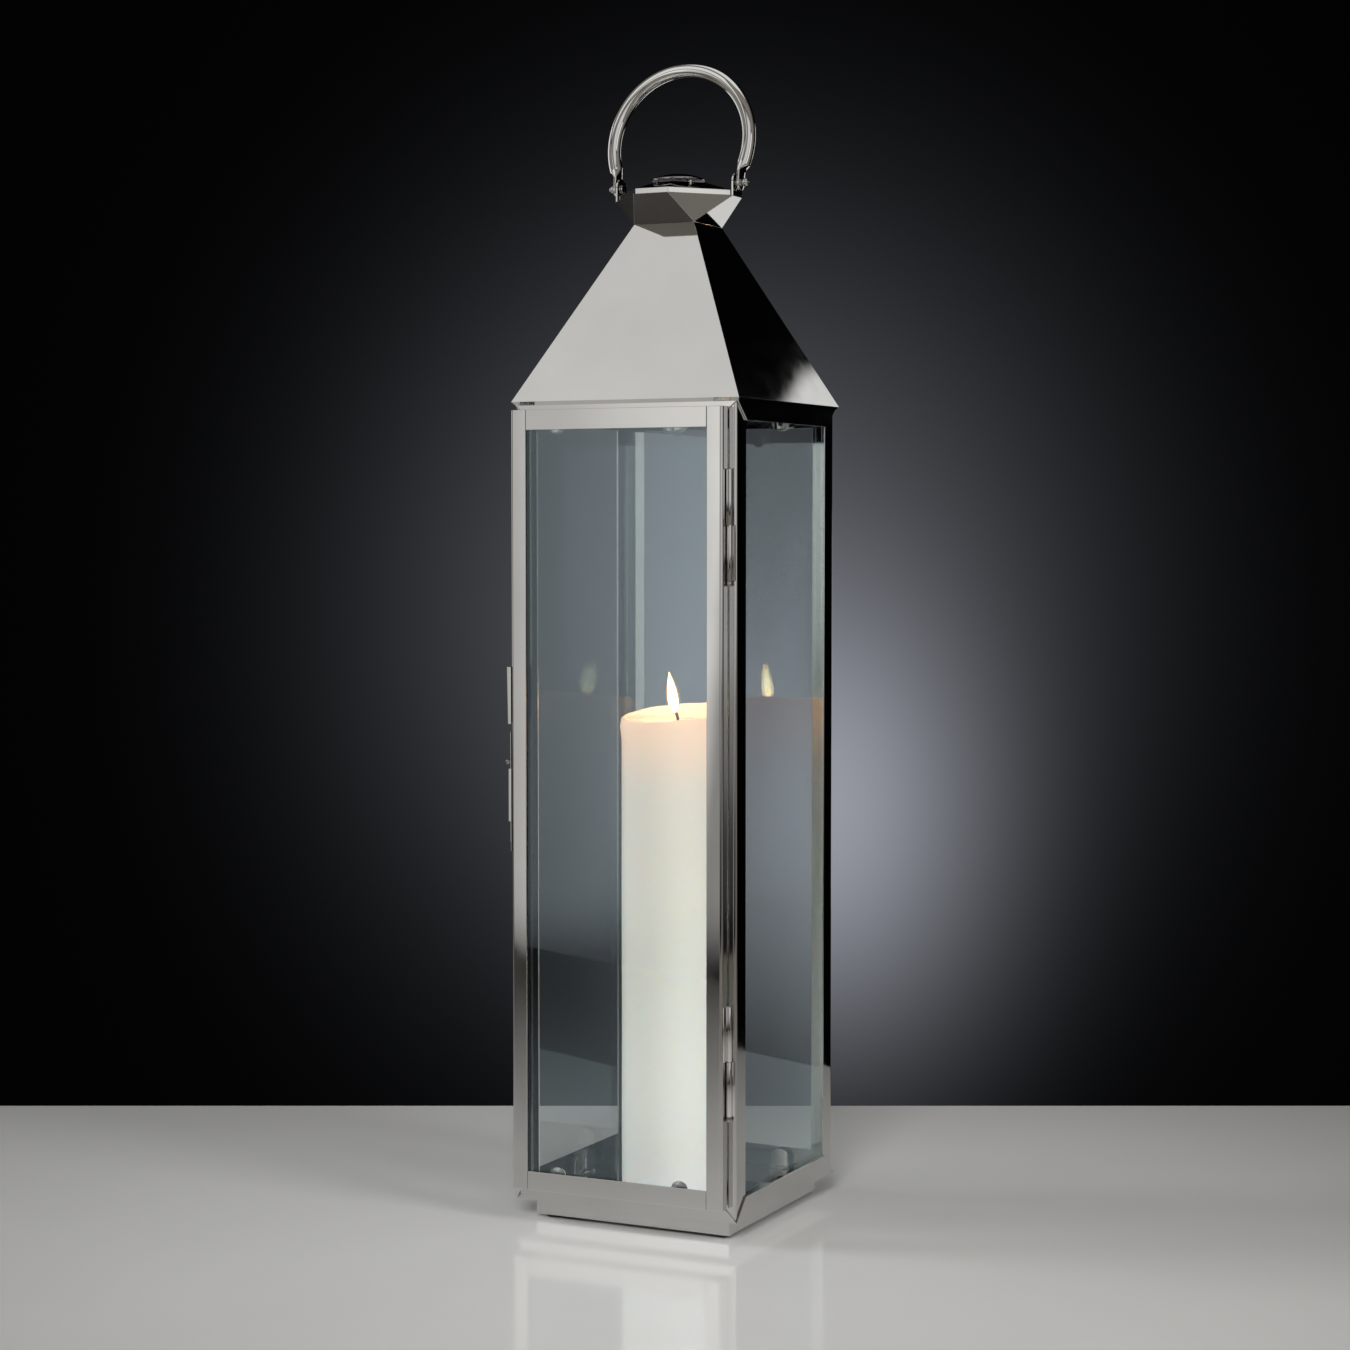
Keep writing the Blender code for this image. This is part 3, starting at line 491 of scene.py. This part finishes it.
def round_corner(bm):
    """Round the full-height edges on the outer corner of a post or stile."""
    xs = [vert.co.x for vert in bm.verts]
    ys = [vert.co.y for vert in bm.verts]
    zs = [vert.co.z for vert in bm.verts]
    x = max(xs, key=abs)
    y = max(ys, key=abs)
    tall = UPRIGHT_SHARE * (max(zs) - min(zs))
    corner = []
    for edge in bm.edges:
        low, high = edge.verts
        upright = abs(low.co.z - high.co.z) > tall
        off = max(max(abs(vert.co.x - x), abs(vert.co.y - y)) for vert in edge.verts)
        if upright and off < CORNER_WITHIN:
            corner.append(edge)
    width, segments = CORNER_EDGE
    bmesh.ops.bevel(bm, geom=corner, offset=width, segments=segments, affect="EDGES", profile=0.5)


def softened(node, slot, edge, curved):
    """The CAD node's own shape with its flat faces whole again and its edges rounded."""
    cad = frame["nodes"][node]
    bm = bmesh.new()
    bm.from_mesh(cad.data)
    bm.transform(cad.matrix_world)
    bmesh.ops.remove_doubles(bm, verts=bm.verts, dist=MERGE_WITHIN)
    bmesh.ops.dissolve_limit(bm, angle_limit=FLAT_ANGLE, verts=bm.verts, edges=bm.edges)
    if node.startswith(("post_", "door_stile_")):
        round_corner(bm)
    for face in bm.faces:
        face.smooth = True
    obj = linked(f"{node}_look", bm, [FINISHES[slot]])
    width, segments = edge
    bevel = obj.modifiers.new("edge", "BEVEL")
    bevel.width = width
    bevel.segments = segments
    bevel.limit_method = "ANGLE"
    bevel.angle_limit = SHARP_ANGLE
    bevel.miter_outer = "MITER_ARC"
    if not curved:
        weight = obj.modifiers.new("flat_faces", "WEIGHTED_NORMAL")
        weight.mode = "FACE_AREA"
        weight.weight = FACE_WEIGHT
    bake_modifiers(obj)
    if curved:
        obj.data.set_sharp_from_angle(angle=ROUND_ANGLE)
    stand_for(obj, node)


def ring_mesh(rows):
    """Skin a stack of equal rings of points and close its two ends."""
    bm = bmesh.new()
    loops = [[bm.verts.new(point) for point in row] for row in rows]
    count = len(loops[0])
    for low, high in zip(loops, loops[1:]):
        for i in range(count):
            j = (i + 1) % count
            bm.faces.new((low[i], low[j], high[j], high[i]))
    bm.faces.new(loops[0][::-1])
    bm.faces.new(loops[-1])
    bmesh.ops.recalc_face_normals(bm, faces=bm.faces)
    for face in bm.faces:
        face.smooth = True
    return bm


def candle_profile():
    """Rows from the foot to the pool's middle: share of the radius, height, share of the roughness."""
    profile = [
        (0.90, CANDLE_FOOT, 0.0),
        (0.985, CANDLE_FOOT, 0.0),
        (0.997, CANDLE_FOOT + 0.0006, 0.1),
        (1.0, CANDLE_FOOT + WALL_START, 0.2),
    ]
    wall = CANDLE_RIM - WALL_END - CANDLE_FOOT
    for i in range(1, WALL_ROWS + 1):
        t = i / WALL_ROWS
        profile.append((1.0, CANDLE_FOOT + WALL_START + wall * t, 0.4 + 0.6 * t))
    profile += [
        (0.997, CANDLE_RIM - 0.0010, 1.0),
        (0.985, CANDLE_RIM - 0.0003, 1.0),
        (0.968, CANDLE_RIM, 1.0),
        (0.950, CANDLE_RIM - 0.0004, 1.0),
        (0.930, CANDLE_RIM - 0.0016, 1.0),
        (0.905, CANDLE_RIM - 0.0034, 0.9),
        (0.87, CANDLE_POOL + 0.0024, 0.6),
        (0.82, CANDLE_POOL + 0.0010, 0.3),
        (0.76, CANDLE_POOL + 0.0003, 0.1),
        (0.66, CANDLE_POOL, 0.0),
        (0.40, CANDLE_POOL, 0.0),
        (0.12, CANDLE_POOL + 0.0002, 0.0),
        (0.04, CANDLE_POOL + 0.0008, 0.0),
    ]
    return profile


def candle_piece():
    """Pillar candle with an uneven melted rim, a lip that ran over on one side, and a pool."""
    rows = []
    for share, z, rough in candle_profile():
        on_wall = share > WALL_SHARE
        begin, climb = WALL_CLIMB if on_wall else POOL_CLIMB
        high = min(1.0, max(0.0, (z - CANDLE_POOL + begin) / climb))
        row = []
        for i in range(CANDLE_SEGMENTS):
            turn = math.tau * i / CANDLE_SEGMENTS
            ray = Vector((math.cos(turn), math.sin(turn), 0.0))
            swell_at = Vector((ray.x * SWELL_ROUND, ray.y * SWELL_ROUND, z * SWELL_UP))
            swell = noise.noise(swell_at)
            fine_at = Vector((ray.x * FINE_ROUND, ray.y * FINE_ROUND, z * FINE_UP + FINE_START))
            fine = noise.noise(fine_at)
            radius = CANDLE_RADIUS * share + (SWELL_DEPTH * swell + FINE_DEPTH * fine) * rough
            if on_wall:
                top = max(0.0, (z - (CANDLE_RIM - TOP_REACH)) / TOP_REACH)
                aside = math.remainder(turn - LIP_TURN, math.tau) / LIP_WIDTH
                below = (z - CANDLE_RIM + LIP_BELOW) / LIP_HEIGHT
                lip = math.exp(-(aside**2)) * math.exp(-(below**2))
                radius += LIP_DEPTH * lip + TOP_DEPTH * top * fine
            waver_at = Vector((ray.x * WAVER_ROUND, ray.y * WAVER_ROUND, WAVER_START))
            waver = RIM_WAVER * noise.noise(waver_at)
            tilt = RIM_TILT * math.cos(turn - RIM_HIGH_TURN) - RIM_DROP
            row.append((radius * ray.x, radius * ray.y, z + (tilt + waver) * high))
        rows.append(row)
    bm = ring_mesh(rows)
    for face in bm.faces:
        middle = face.calc_center_median()
        reach = math.hypot(middle.x, middle.y)
        if middle.z > CANDLE_POOL - MELT_BELOW and reach < CANDLE_RADIUS * MELT_SHARE:
            face.material_index = 1
    obj = linked("candle_look", bm, [WAX, MELTED_WAX])
    stand_for(obj, "candle")


def tube(name, points, radii, sides, material):
    """A closed round tube along points, square to the line they make."""
    rows = []
    for i, point in enumerate(points):
        ahead = points[min(i + 1, len(points) - 1)] - points[max(i - 1, 0)]
        ahead.normalize()
        across = ahead.cross(Vector((0.0, 1.0, 0.0)))
        across.normalize()
        other = ahead.cross(across)
        row = []
        for k in range(sides):
            turn = math.tau * k / sides
            reach = radii[i] * (math.cos(turn) * across + math.sin(turn) * other)
            row.append(point + reach)
        rows.append(row)
    return linked(name, ring_mesh(rows), [material])


def wick_piece():
    """Braided wick that bends to one side and thins at its tip."""
    points = []
    radii = []
    for i in range(WICK_STEPS + 1):
        t = i / WICK_STEPS
        height = CANDLE_POOL - WICK_ROOT + (WICK_TOP - CANDLE_POOL + WICK_ROOT) * t
        points.append(Vector((0.0, 0.0, height)) - SIDE * WICK_BEND * t * t)
        braid = 1.0 + WICK_BRAID * math.sin(t * WICK_BRAID_TURN)
        taper = 1.0 - WICK_TAPER * max(0.0, t - WICK_TAPER_FROM) / (1.0 - WICK_TAPER_FROM)
        radii.append(WICK_RADIUS * braid * taper)
    obj = tube("wick_look", points, radii, WICK_SIDES, COTTON)
    stand_for(obj, "wick")


def flame_piece(name, grow, material):
    """Teardrop that leans a little and closes to a point. grow is how much wider than usual it is."""
    points = []
    radii = []
    for i in range(FLAME_STEPS + 1):
        t = i / FLAME_STEPS
        inside = 0.0 < t < 1.0
        body = math.sin(math.pi * t**FLAME_LOW_SWELL) ** FLAME_BLUNT if inside else 0.0
        height = FLAME_FOOT + FLAME_HEIGHT * t * (1.0 + grow * FLAME_STRETCH)
        points.append(Vector((0.0, 0.0, height)) - SIDE * (FLAME_FOOT_OFF + FLAME_LEAN * t))
        radii.append(max(FLAME_TIP, FLAME_RADIUS * body * (1.0 + grow)))
    obj = tube(name, points, radii, FLAME_SIDES, material)
    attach(obj, "candle")
    obj.visible_shadow = False


def handle_stations():
    """From the top of the ring to the end of its right tab: x, z, turn, half sizes, roundness."""
    stations = []
    for i in range(HANDLE_ARC_STEPS + 1):
        turn = math.pi / 2 - (math.pi / 2 + HANDLE_BELOW) * i / HANDLE_ARC_STEPS
        x = HANDLE_RADIUS * math.cos(turn)
        z = HANDLE_CENTRE + HANDLE_RADIUS * math.sin(turn)
        stations.append((x, z, turn, HANDLE_BAR, HANDLE_BAR, ROUND_BAR))
    start = stations[-1]
    tab = (TAB_X, TAB_TOP, 0.0, TAB_HALF, TAB_WIDTH_HALF, FLAT_TAB)
    for i in range(1, NECK_STEPS + 1):
        t = i / NECK_STEPS
        ease = t * t * (3.0 - 2.0 * t)
        x, z, turn, thick, wide, power = (a + (b - a) * ease for a, b in zip(start, tab))
        z = start[1] + (tab[1] - start[1]) * t
        stations.append((x, z, turn, thick, wide, power))
    stations.append((TAB_X, TAB_MIDDLE, *tab[2:]))
    stations.append((TAB_X, 0.0, *tab[2:]))
    for i in range(1, TAB_END_STEPS + 1):
        angle = math.pi / 2 * i / (TAB_END_STEPS + TAB_END_OPEN)
        z = -TAB_BELOW * math.sin(angle)
        stations.append((TAB_X, z, 0.0, TAB_HALF, TAB_WIDTH_HALF * math.cos(angle), FLAT_TAB))
    return stations


def handle_piece():
    """Ring handle that flattens into two round-ended tabs, with a hole in each for its pin."""
    half = handle_stations()
    left = [(-x, z, math.pi - turn, *rest) for x, z, turn, *rest in half[:0:-1]]
    lean = Matrix.Translation((0.0, 0.0, PIVOT_Z)) @ Matrix.Rotation(HANDLE_LEAN, 4, "X")
    rows = []
    for x, z, turn, thick, wide, power in left + half:
        row = []
        for i in range(HANDLE_SIDES):
            angle = math.tau * i / HANDLE_SIDES
            cosine = math.cos(angle)
            sine = math.sin(angle)
            across = thick * math.copysign(abs(cosine) ** power, cosine)
            depth = wide * math.copysign(abs(sine) ** power, sine)
            row.append(lean @ Vector((x + across * math.cos(turn), depth, z + across * math.sin(turn))))
        rows.append(row)
    obj = linked("handle_look", ring_mesh(rows), [BAR])
    bm = bmesh.new()
    bmesh.ops.create_cone(
        bm,
        cap_ends=True,
        segments=DRILL_SIDES,
        radius1=PIN_HOLE,
        radius2=PIN_HOLE,
        depth=DRILL_LENGTH,
    )
    bm.transform(Matrix.Translation((0.0, 0.0, PIVOT_Z)) @ Matrix.Rotation(math.pi / 2, 4, "Y"))
    drill = linked("handle_drill", bm, [BAR])
    cut = obj.modifiers.new("holes", "BOOLEAN")
    cut.operation = "DIFFERENCE"
    cut.solver = "EXACT"
    cut.object = drill
    bake_modifiers(obj)
    bpy.data.objects.remove(drill, do_unlink=True)
    obj.data.set_sharp_from_angle(angle=ROUND_ANGLE)
    stand_for(obj, "handle")


def arc(radius, centre, start, end, steps):
    """Points of (radius, height) along a circle with its centre on the axis."""
    points = []
    for i in range(steps + 1):
        turn = start + (end - start) * i / steps
        points.append((radius * math.cos(turn), centre + radius * math.sin(turn)))
    return points


def turned_piece(node, slot, profile, place, segments):
    """A profile of (radius, height) turned about local Z, then placed."""
    rows = []
    for radius, height in profile:
        row = []
        for i in range(segments):
            turn = math.tau * i / segments
            row.append(place @ Vector((radius * math.cos(turn), radius * math.sin(turn), height)))
        rows.append(row)
    obj = linked(f"{node}_look", ring_mesh(rows), [FINISHES[slot]])
    obj.data.set_sharp_from_angle(angle=ROUND_ANGLE)
    stand_for(obj, node)


def pin_pieces():
    """Handle pins, each with a flat head inside the lug and a ball outside the tab."""
    joint = math.acos(PIN_RADIUS / PIN_BALL)
    ball = TAB_X + TAB_HALF + PIN_GAP + PIN_BALL * math.sin(joint)
    head_end = PIN_HEAD_IN - PIN_HEAD_THICK
    profile = [
        (CLOSING_RADIUS, head_end),
        (PIN_HEAD - CHAMFER, head_end),
        (PIN_HEAD, head_end + CHAMFER),
        (PIN_HEAD, PIN_HEAD_IN - PIN_HEAD_CHAMFER),
        (PIN_HEAD - PIN_HEAD_CHAMFER, PIN_HEAD_IN),
        (PIN_RADIUS, PIN_HEAD_IN),
        *arc(PIN_BALL, ball, -joint, BALL_END, 22),
    ]
    for sign, side in ((-1, "left"), (1, "right")):
        place = Matrix.Translation((0.0, 0.0, PIVOT_Z)) @ Matrix.Rotation(sign * math.pi / 2, 4, "Y")
        turned_piece(f"handle_pin_{side}", "polished_steel", profile, place, PIN_SIDES)


def dome_piece():
    """Low dome over the lid, with a short upright rim."""
    radius = (DOME_RADIUS**2 + DOME_RISE**2) / (2 * DOME_RISE)
    spread_angle = math.asin((DOME_RADIUS - DOME_LIP) / radius)
    centre = DOME_LOW + DOME_RIM + DOME_RISE - radius
    profile = [
        (CLOSING_RADIUS, DOME_LOW),
        (DOME_RADIUS - CHAMFER, DOME_LOW),
        (DOME_RADIUS, DOME_LOW + CHAMFER),
        (DOME_RADIUS, DOME_LOW + DOME_RIM - CHAMFER),
        *arc(radius, centre, math.pi / 2 - spread_angle, DOME_TOP, 20),
    ]
    turned_piece("vent_dome", "trim_steel", profile, Matrix.Identity(4), DOME_SIDES)


def knob_piece():
    """Latch knob: a ball on a short stem."""
    joint = math.acos(KNOB_STEM / KNOB_RADIUS)
    profile = [
        (CLOSING_RADIUS, KNOB_START),
        (KNOB_STEM, KNOB_START),
        *arc(KNOB_RADIUS, KNOB_BALL, -joint, BALL_END, 18),
    ]
    place = Matrix.Translation(KNOB_PLACE) @ Matrix.Rotation(-math.pi / 2, 4, "Y")
    turned_piece("latch_knob", "trim_steel", profile, place, KNOB_SIDES)


def slot_of(node):
    """The slot of a node that keeps the CAD's own shape."""
    if node.startswith(("glass_", "door_glass")):
        return "pane_glass"
    if node.startswith("foot_"):
        return "foot_rubber"
    if node in ("hinge_upper_pin", "hinge_lower_pin"):
        return "trim_steel"
    return "polished_steel"


BUILT_ANEW = (
    "candle",
    "wick",
    "handle",
    "handle_pin_left",
    "handle_pin_right",
    "vent_dome",
    "latch_knob",
)
CURVED = ("hinge", "vent_spacer", "foot", "clip", "door_clip")
for node in frame["nodes"]:
    if node in BUILT_ANEW:
        continue
    slot = slot_of(node)
    edge = SHEET_EDGE
    if slot == "pane_glass":
        edge = PANE_EDGE
    elif node in ("roof", "crown", "base_tray", "plinth"):
        edge = FOLD_EDGE
    elif node.startswith(("hinge", "latch", "vent_spacer", "clip", "door_clip")):
        edge = FINE_EDGE
    softened(node, slot, edge, node.startswith(CURVED))

handle_piece()
pin_pieces()
dome_piece()
knob_piece()

candle_piece()
wick_piece()
flame_piece("flame_core", -0.12, FLAME_CORE)
flame_piece("flame_edge", 0.18, FLAME_EDGE)


# ---------------------------------------------------------------- floor, light and camera


def floor_piece():
    """Pale table top that ends a little way behind the lantern."""
    corners = [
        VIEW * FLOOR_BEHIND - SIDE * FLOOR_HALF,
        VIEW * -FLOOR_BEFORE - SIDE * FLOOR_HALF,
        VIEW * -FLOOR_BEFORE + SIDE * FLOOR_HALF,
        VIEW * FLOOR_BEHIND + SIDE * FLOOR_HALF,
    ]
    bm = bmesh.new()
    bm.faces.new([bm.verts.new(corner) for corner in corners])
    material, tree = new_material("pale_floor")
    place = place_of(tree)
    cloud = noise_of(tree, place, 2.5, 3.0)
    tone = ramp(tree, cloud, ((0.3, (0.70, 0.70, 0.70)), (0.7, (0.74, 0.74, 0.735))))
    gloss = spread(tree, noise_of(tree, place, 30.0, 3.0), 0.07, 0.11)
    inputs = {"Base Color": tone, "Roughness": gloss}
    surface(tree, add(tree, "ShaderNodeBsdfPrincipled", inputs).outputs["BSDF"])
    obj = linked("floor", bm, [material])


def card(name, place, target, size, strength, colour, soft, falls=(), lights_wax=True):
    """Soft box: a glowing card out of the camera's sight that lights the lantern alone.

    soft is the share of its width over which an edge fades. Each of falls is a direction, where
    along it the card is dim, where it is bright, and how dim. Without lights_wax only reflections
    show the card.
    """
    material, tree = new_material(name)
    parts = add(tree, "ShaderNodeSeparateXYZ", {"Vector": place_of(tree)})
    level = None
    for axis in ("X", "Y"):
        span = maths(tree, "ABSOLUTE", parts.outputs[axis])
        fade = spread(tree, span, 1.0, 0.0, 0.5 - soft, 0.5, smooth=True)
        if level is None:
            level = fade
        else:
            level = maths(tree, "MULTIPLY", level, fade)
    for way, dim, bright, share in falls:
        along = dot(tree, add(tree, "ShaderNodeNewGeometry").outputs["Position"], way)
        slope = spread(tree, along, share, 1.0, dim, bright, smooth=True)
        level = maths(tree, "MULTIPLY", level, slope)
    power = maths(tree, "MULTIPLY", level, strength)
    shine = add(tree, "ShaderNodeEmission", {"Color": (*colour, 1.0), "Strength": power})
    surface(tree, shine.outputs[0])
    bm = bmesh.new()
    corners = ((-0.5, -0.5), (0.5, -0.5), (0.5, 0.5), (-0.5, 0.5))
    bm.faces.new([bm.verts.new((x, y, 0.0)) for x, y in corners])
    obj = linked(name, bm, [material])
    facing = (Vector(target) - Vector(place)).to_track_quat("Z", "Y").to_matrix().to_4x4()
    obj.matrix_world = Matrix.Translation(place) @ facing @ Matrix.Diagonal((*size, 1.0, 1.0))
    obj.visible_camera = False
    obj.visible_shadow = False
    obj.visible_diffuse = lights_wax
    obj.light_linking.receiver_collection = LANTERN


def lamp(name, place, target, power, colour, cone):
    """Area light for the wax and the floor, which no reflection shows. cone is in degrees."""
    data = bpy.data.lights.new(name, "AREA")
    data.shape = "RECTANGLE"
    data.size = LAMP_SIZE
    data.size_y = LAMP_SIZE
    data.energy = power
    data.color = colour
    data.spread = math.radians(cone)
    obj = bpy.data.objects.new(name, data)
    obj.location = place
    obj.rotation_euler = (Vector(target) - Vector(place)).to_track_quat("-Z", "Y").to_euler()
    obj.visible_glossy = False
    obj.visible_camera = False
    bpy.context.scene.collection.objects.link(obj)


def halo(tree, way, middle, reach):
    """Oval glow of the background, 1 in its middle and fading like a bell curve, seen along VIEW."""
    level = None
    up = Vector((0.0, 0.0, 1.0))
    for axis, at, span in ((SIDE, middle[0], reach[0]), (up, middle[1], reach[1])):
        off = maths(tree, "SUBTRACT", dot(tree, way, axis / span), at / span)
        square = maths(tree, "MULTIPLY", off, off)
        if level is None:
            level = square
        else:
            level = maths(tree, "ADD", level, square)
    near = maths(tree, "EXPONENT", maths(tree, "MULTIPLY", level, -1.0))
    front = spread(tree, dot(tree, way, VIEW), 0.0, 1.0, 0.3, 0.6)
    return maths(tree, "MULTIPLY", near, front)


def world_light():
    """Studio that is dark behind the lantern, with a cool glow there, and soft grey all round."""
    world = bpy.data.worlds.new("studio")
    bpy.context.scene.world = world
    world.use_nodes = True
    tree = world.node_tree
    tree.nodes.clear()
    way = add(tree, "ShaderNodeTexCoord").outputs["Generated"]
    tight = halo(tree, way, middle=(0.0508, -0.1022), reach=(0.052, 0.069))
    broad = halo(tree, way, middle=(0.0204, -0.0292), reach=(0.1006, 0.1094))
    dark = ramp(tree, broad, ((0.0, NIGHT), (1.0, BROAD_GLOW)))
    light = ramp(tree, tight, ((0.0, BLACK), (1.0, TIGHT_GLOW)))
    parts = add(tree, "ShaderNodeSeparateXYZ", {"Vector": way})
    open_side = spread(tree, parts.outputs["Y"], 1.0, 0.0, WALLS_FULL, WALLS_END, smooth=True)
    walls = ramp(tree, open_side, ((0.0, BLACK), (1.0, WALLS)))
    tone = add(tree, "ShaderNodeVectorMath", {0: dark, 1: light}, operation="ADD").outputs[0]
    tone = add(tree, "ShaderNodeVectorMath", {0: tone, 1: walls}, operation="ADD").outputs[0]
    back = add(tree, "ShaderNodeBackground", {"Color": tone, "Strength": 1.0}).outputs[0]
    output = tree.nodes.new("ShaderNodeOutputWorld")
    tree.links.new(back, output.inputs["Surface"])


def camera_piece():
    data = bpy.data.cameras.new("camera")
    data.lens = CAMERA_LENS
    camera = bpy.data.objects.new("camera", data)
    camera.location = CAMERA_PLACE
    camera.rotation_euler = (math.pi / 2 - CAMERA_TILT, 0.0, CAMERA_TURN)
    bpy.context.scene.collection.objects.link(camera)
    bpy.context.scene.camera = camera


LANTERN = bpy.data.collections.new("lantern_pieces")
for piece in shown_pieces():
    LANTERN.objects.link(piece)
floor_piece()
world_light()
card(
    "front_box",
    place=(-1.35, -2.60, 0.76),
    target=(0.0, 0.0, 0.45),
    size=(1.5, 2.08),
    strength=1.0,
    colour=WARM_WHITE,
    soft=0.10,
    falls=(
        (Vector((-0.932, 0.0, 0.362)), 1.10, 1.28, 0.34),
        (Vector((1.0, 0.0, 0.0)), -1.55, -1.05, 0.58),
    ),
)
card(
    "top_box",
    place=(-0.90, -1.20, 2.25),
    target=(0.0, 0.0, 0.78),
    size=(1.5, 1.5),
    strength=0.82,
    colour=CREAM_WHITE,
    soft=0.10,
)
card(
    "camera_box",
    place=(1.45, -2.75, 1.75),
    target=(0.0, 0.0, 1.75),
    size=(3.4, 3.9),
    strength=0.66,
    colour=WHITE,
    soft=0.2,
    lights_wax=False,
)
card(
    "left_box",
    place=(-2.3, 0.4, 1.1),
    target=(0.0, 0.0, 0.9),
    size=(1.7, 1.9),
    strength=0.9,
    colour=WHITE,
    soft=0.15,
)
card(
    "over_box",
    place=(0.2, 0.3, 2.9),
    target=(0.0, 0.0, 0.9),
    size=(2.2, 1.8),
    strength=0.8,
    colour=WHITE,
    soft=0.15,
)
card(
    "right_box",
    place=(2.4, -1.1, 1.2),
    target=(0.0, 0.0, 0.9),
    size=(0.9, 1.9),
    strength=1.0,
    colour=WHITE,
    soft=0.15,
)
card(
    "back_right_box",
    place=(0.50, 1.90, 1.10),
    target=(0.1, 0.0, 0.72),
    size=(0.55, 0.66),
    strength=0.85,
    colour=WHITE,
    soft=0.05,
)
card(
    "back_low_box",
    place=(-0.16, 1.25, 0.37),
    target=(0.0, 0.0, 0.85),
    size=(0.62, 0.58),
    strength=0.85,
    colour=WHITE,
    soft=0.08,
)
lamp("key", (0.74, -2.27, 1.4), (0.0, 0.0, 0.1), power=5.2, colour=WARM_WHITE, cone=56)
lamp("right", (2.1, -0.56, 1.3), (0.0, 0.0, 0.12), power=2.8, colour=WARM_WHITE, cone=56)
lamp("side", (-1.9, -0.7, 1.2), (0.0, 0.0, 0.15), power=2.5, colour=COOL_WHITE, cone=60)

glow = bpy.data.lights.new("flame_light", "POINT")
glow.energy = FLAME_LIGHT_POWER
glow.color = FLAME_LIGHT
glow.shadow_soft_size = FLAME_LIGHT_SIZE
glow_object = bpy.data.objects.new("flame_light", glow)
glow_object.location = Vector((0.0, 0.0, FLAME_FOOT + FLAME_LIGHT_UP)) - SIDE * FLAME_LIGHT_ASIDE
glow_object.visible_camera = False
glow_object.visible_glossy = False
bpy.context.scene.collection.objects.link(glow_object)
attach(glow_object, "candle")

camera_piece()
bpy.context.scene.view_settings.view_transform = "Standard"
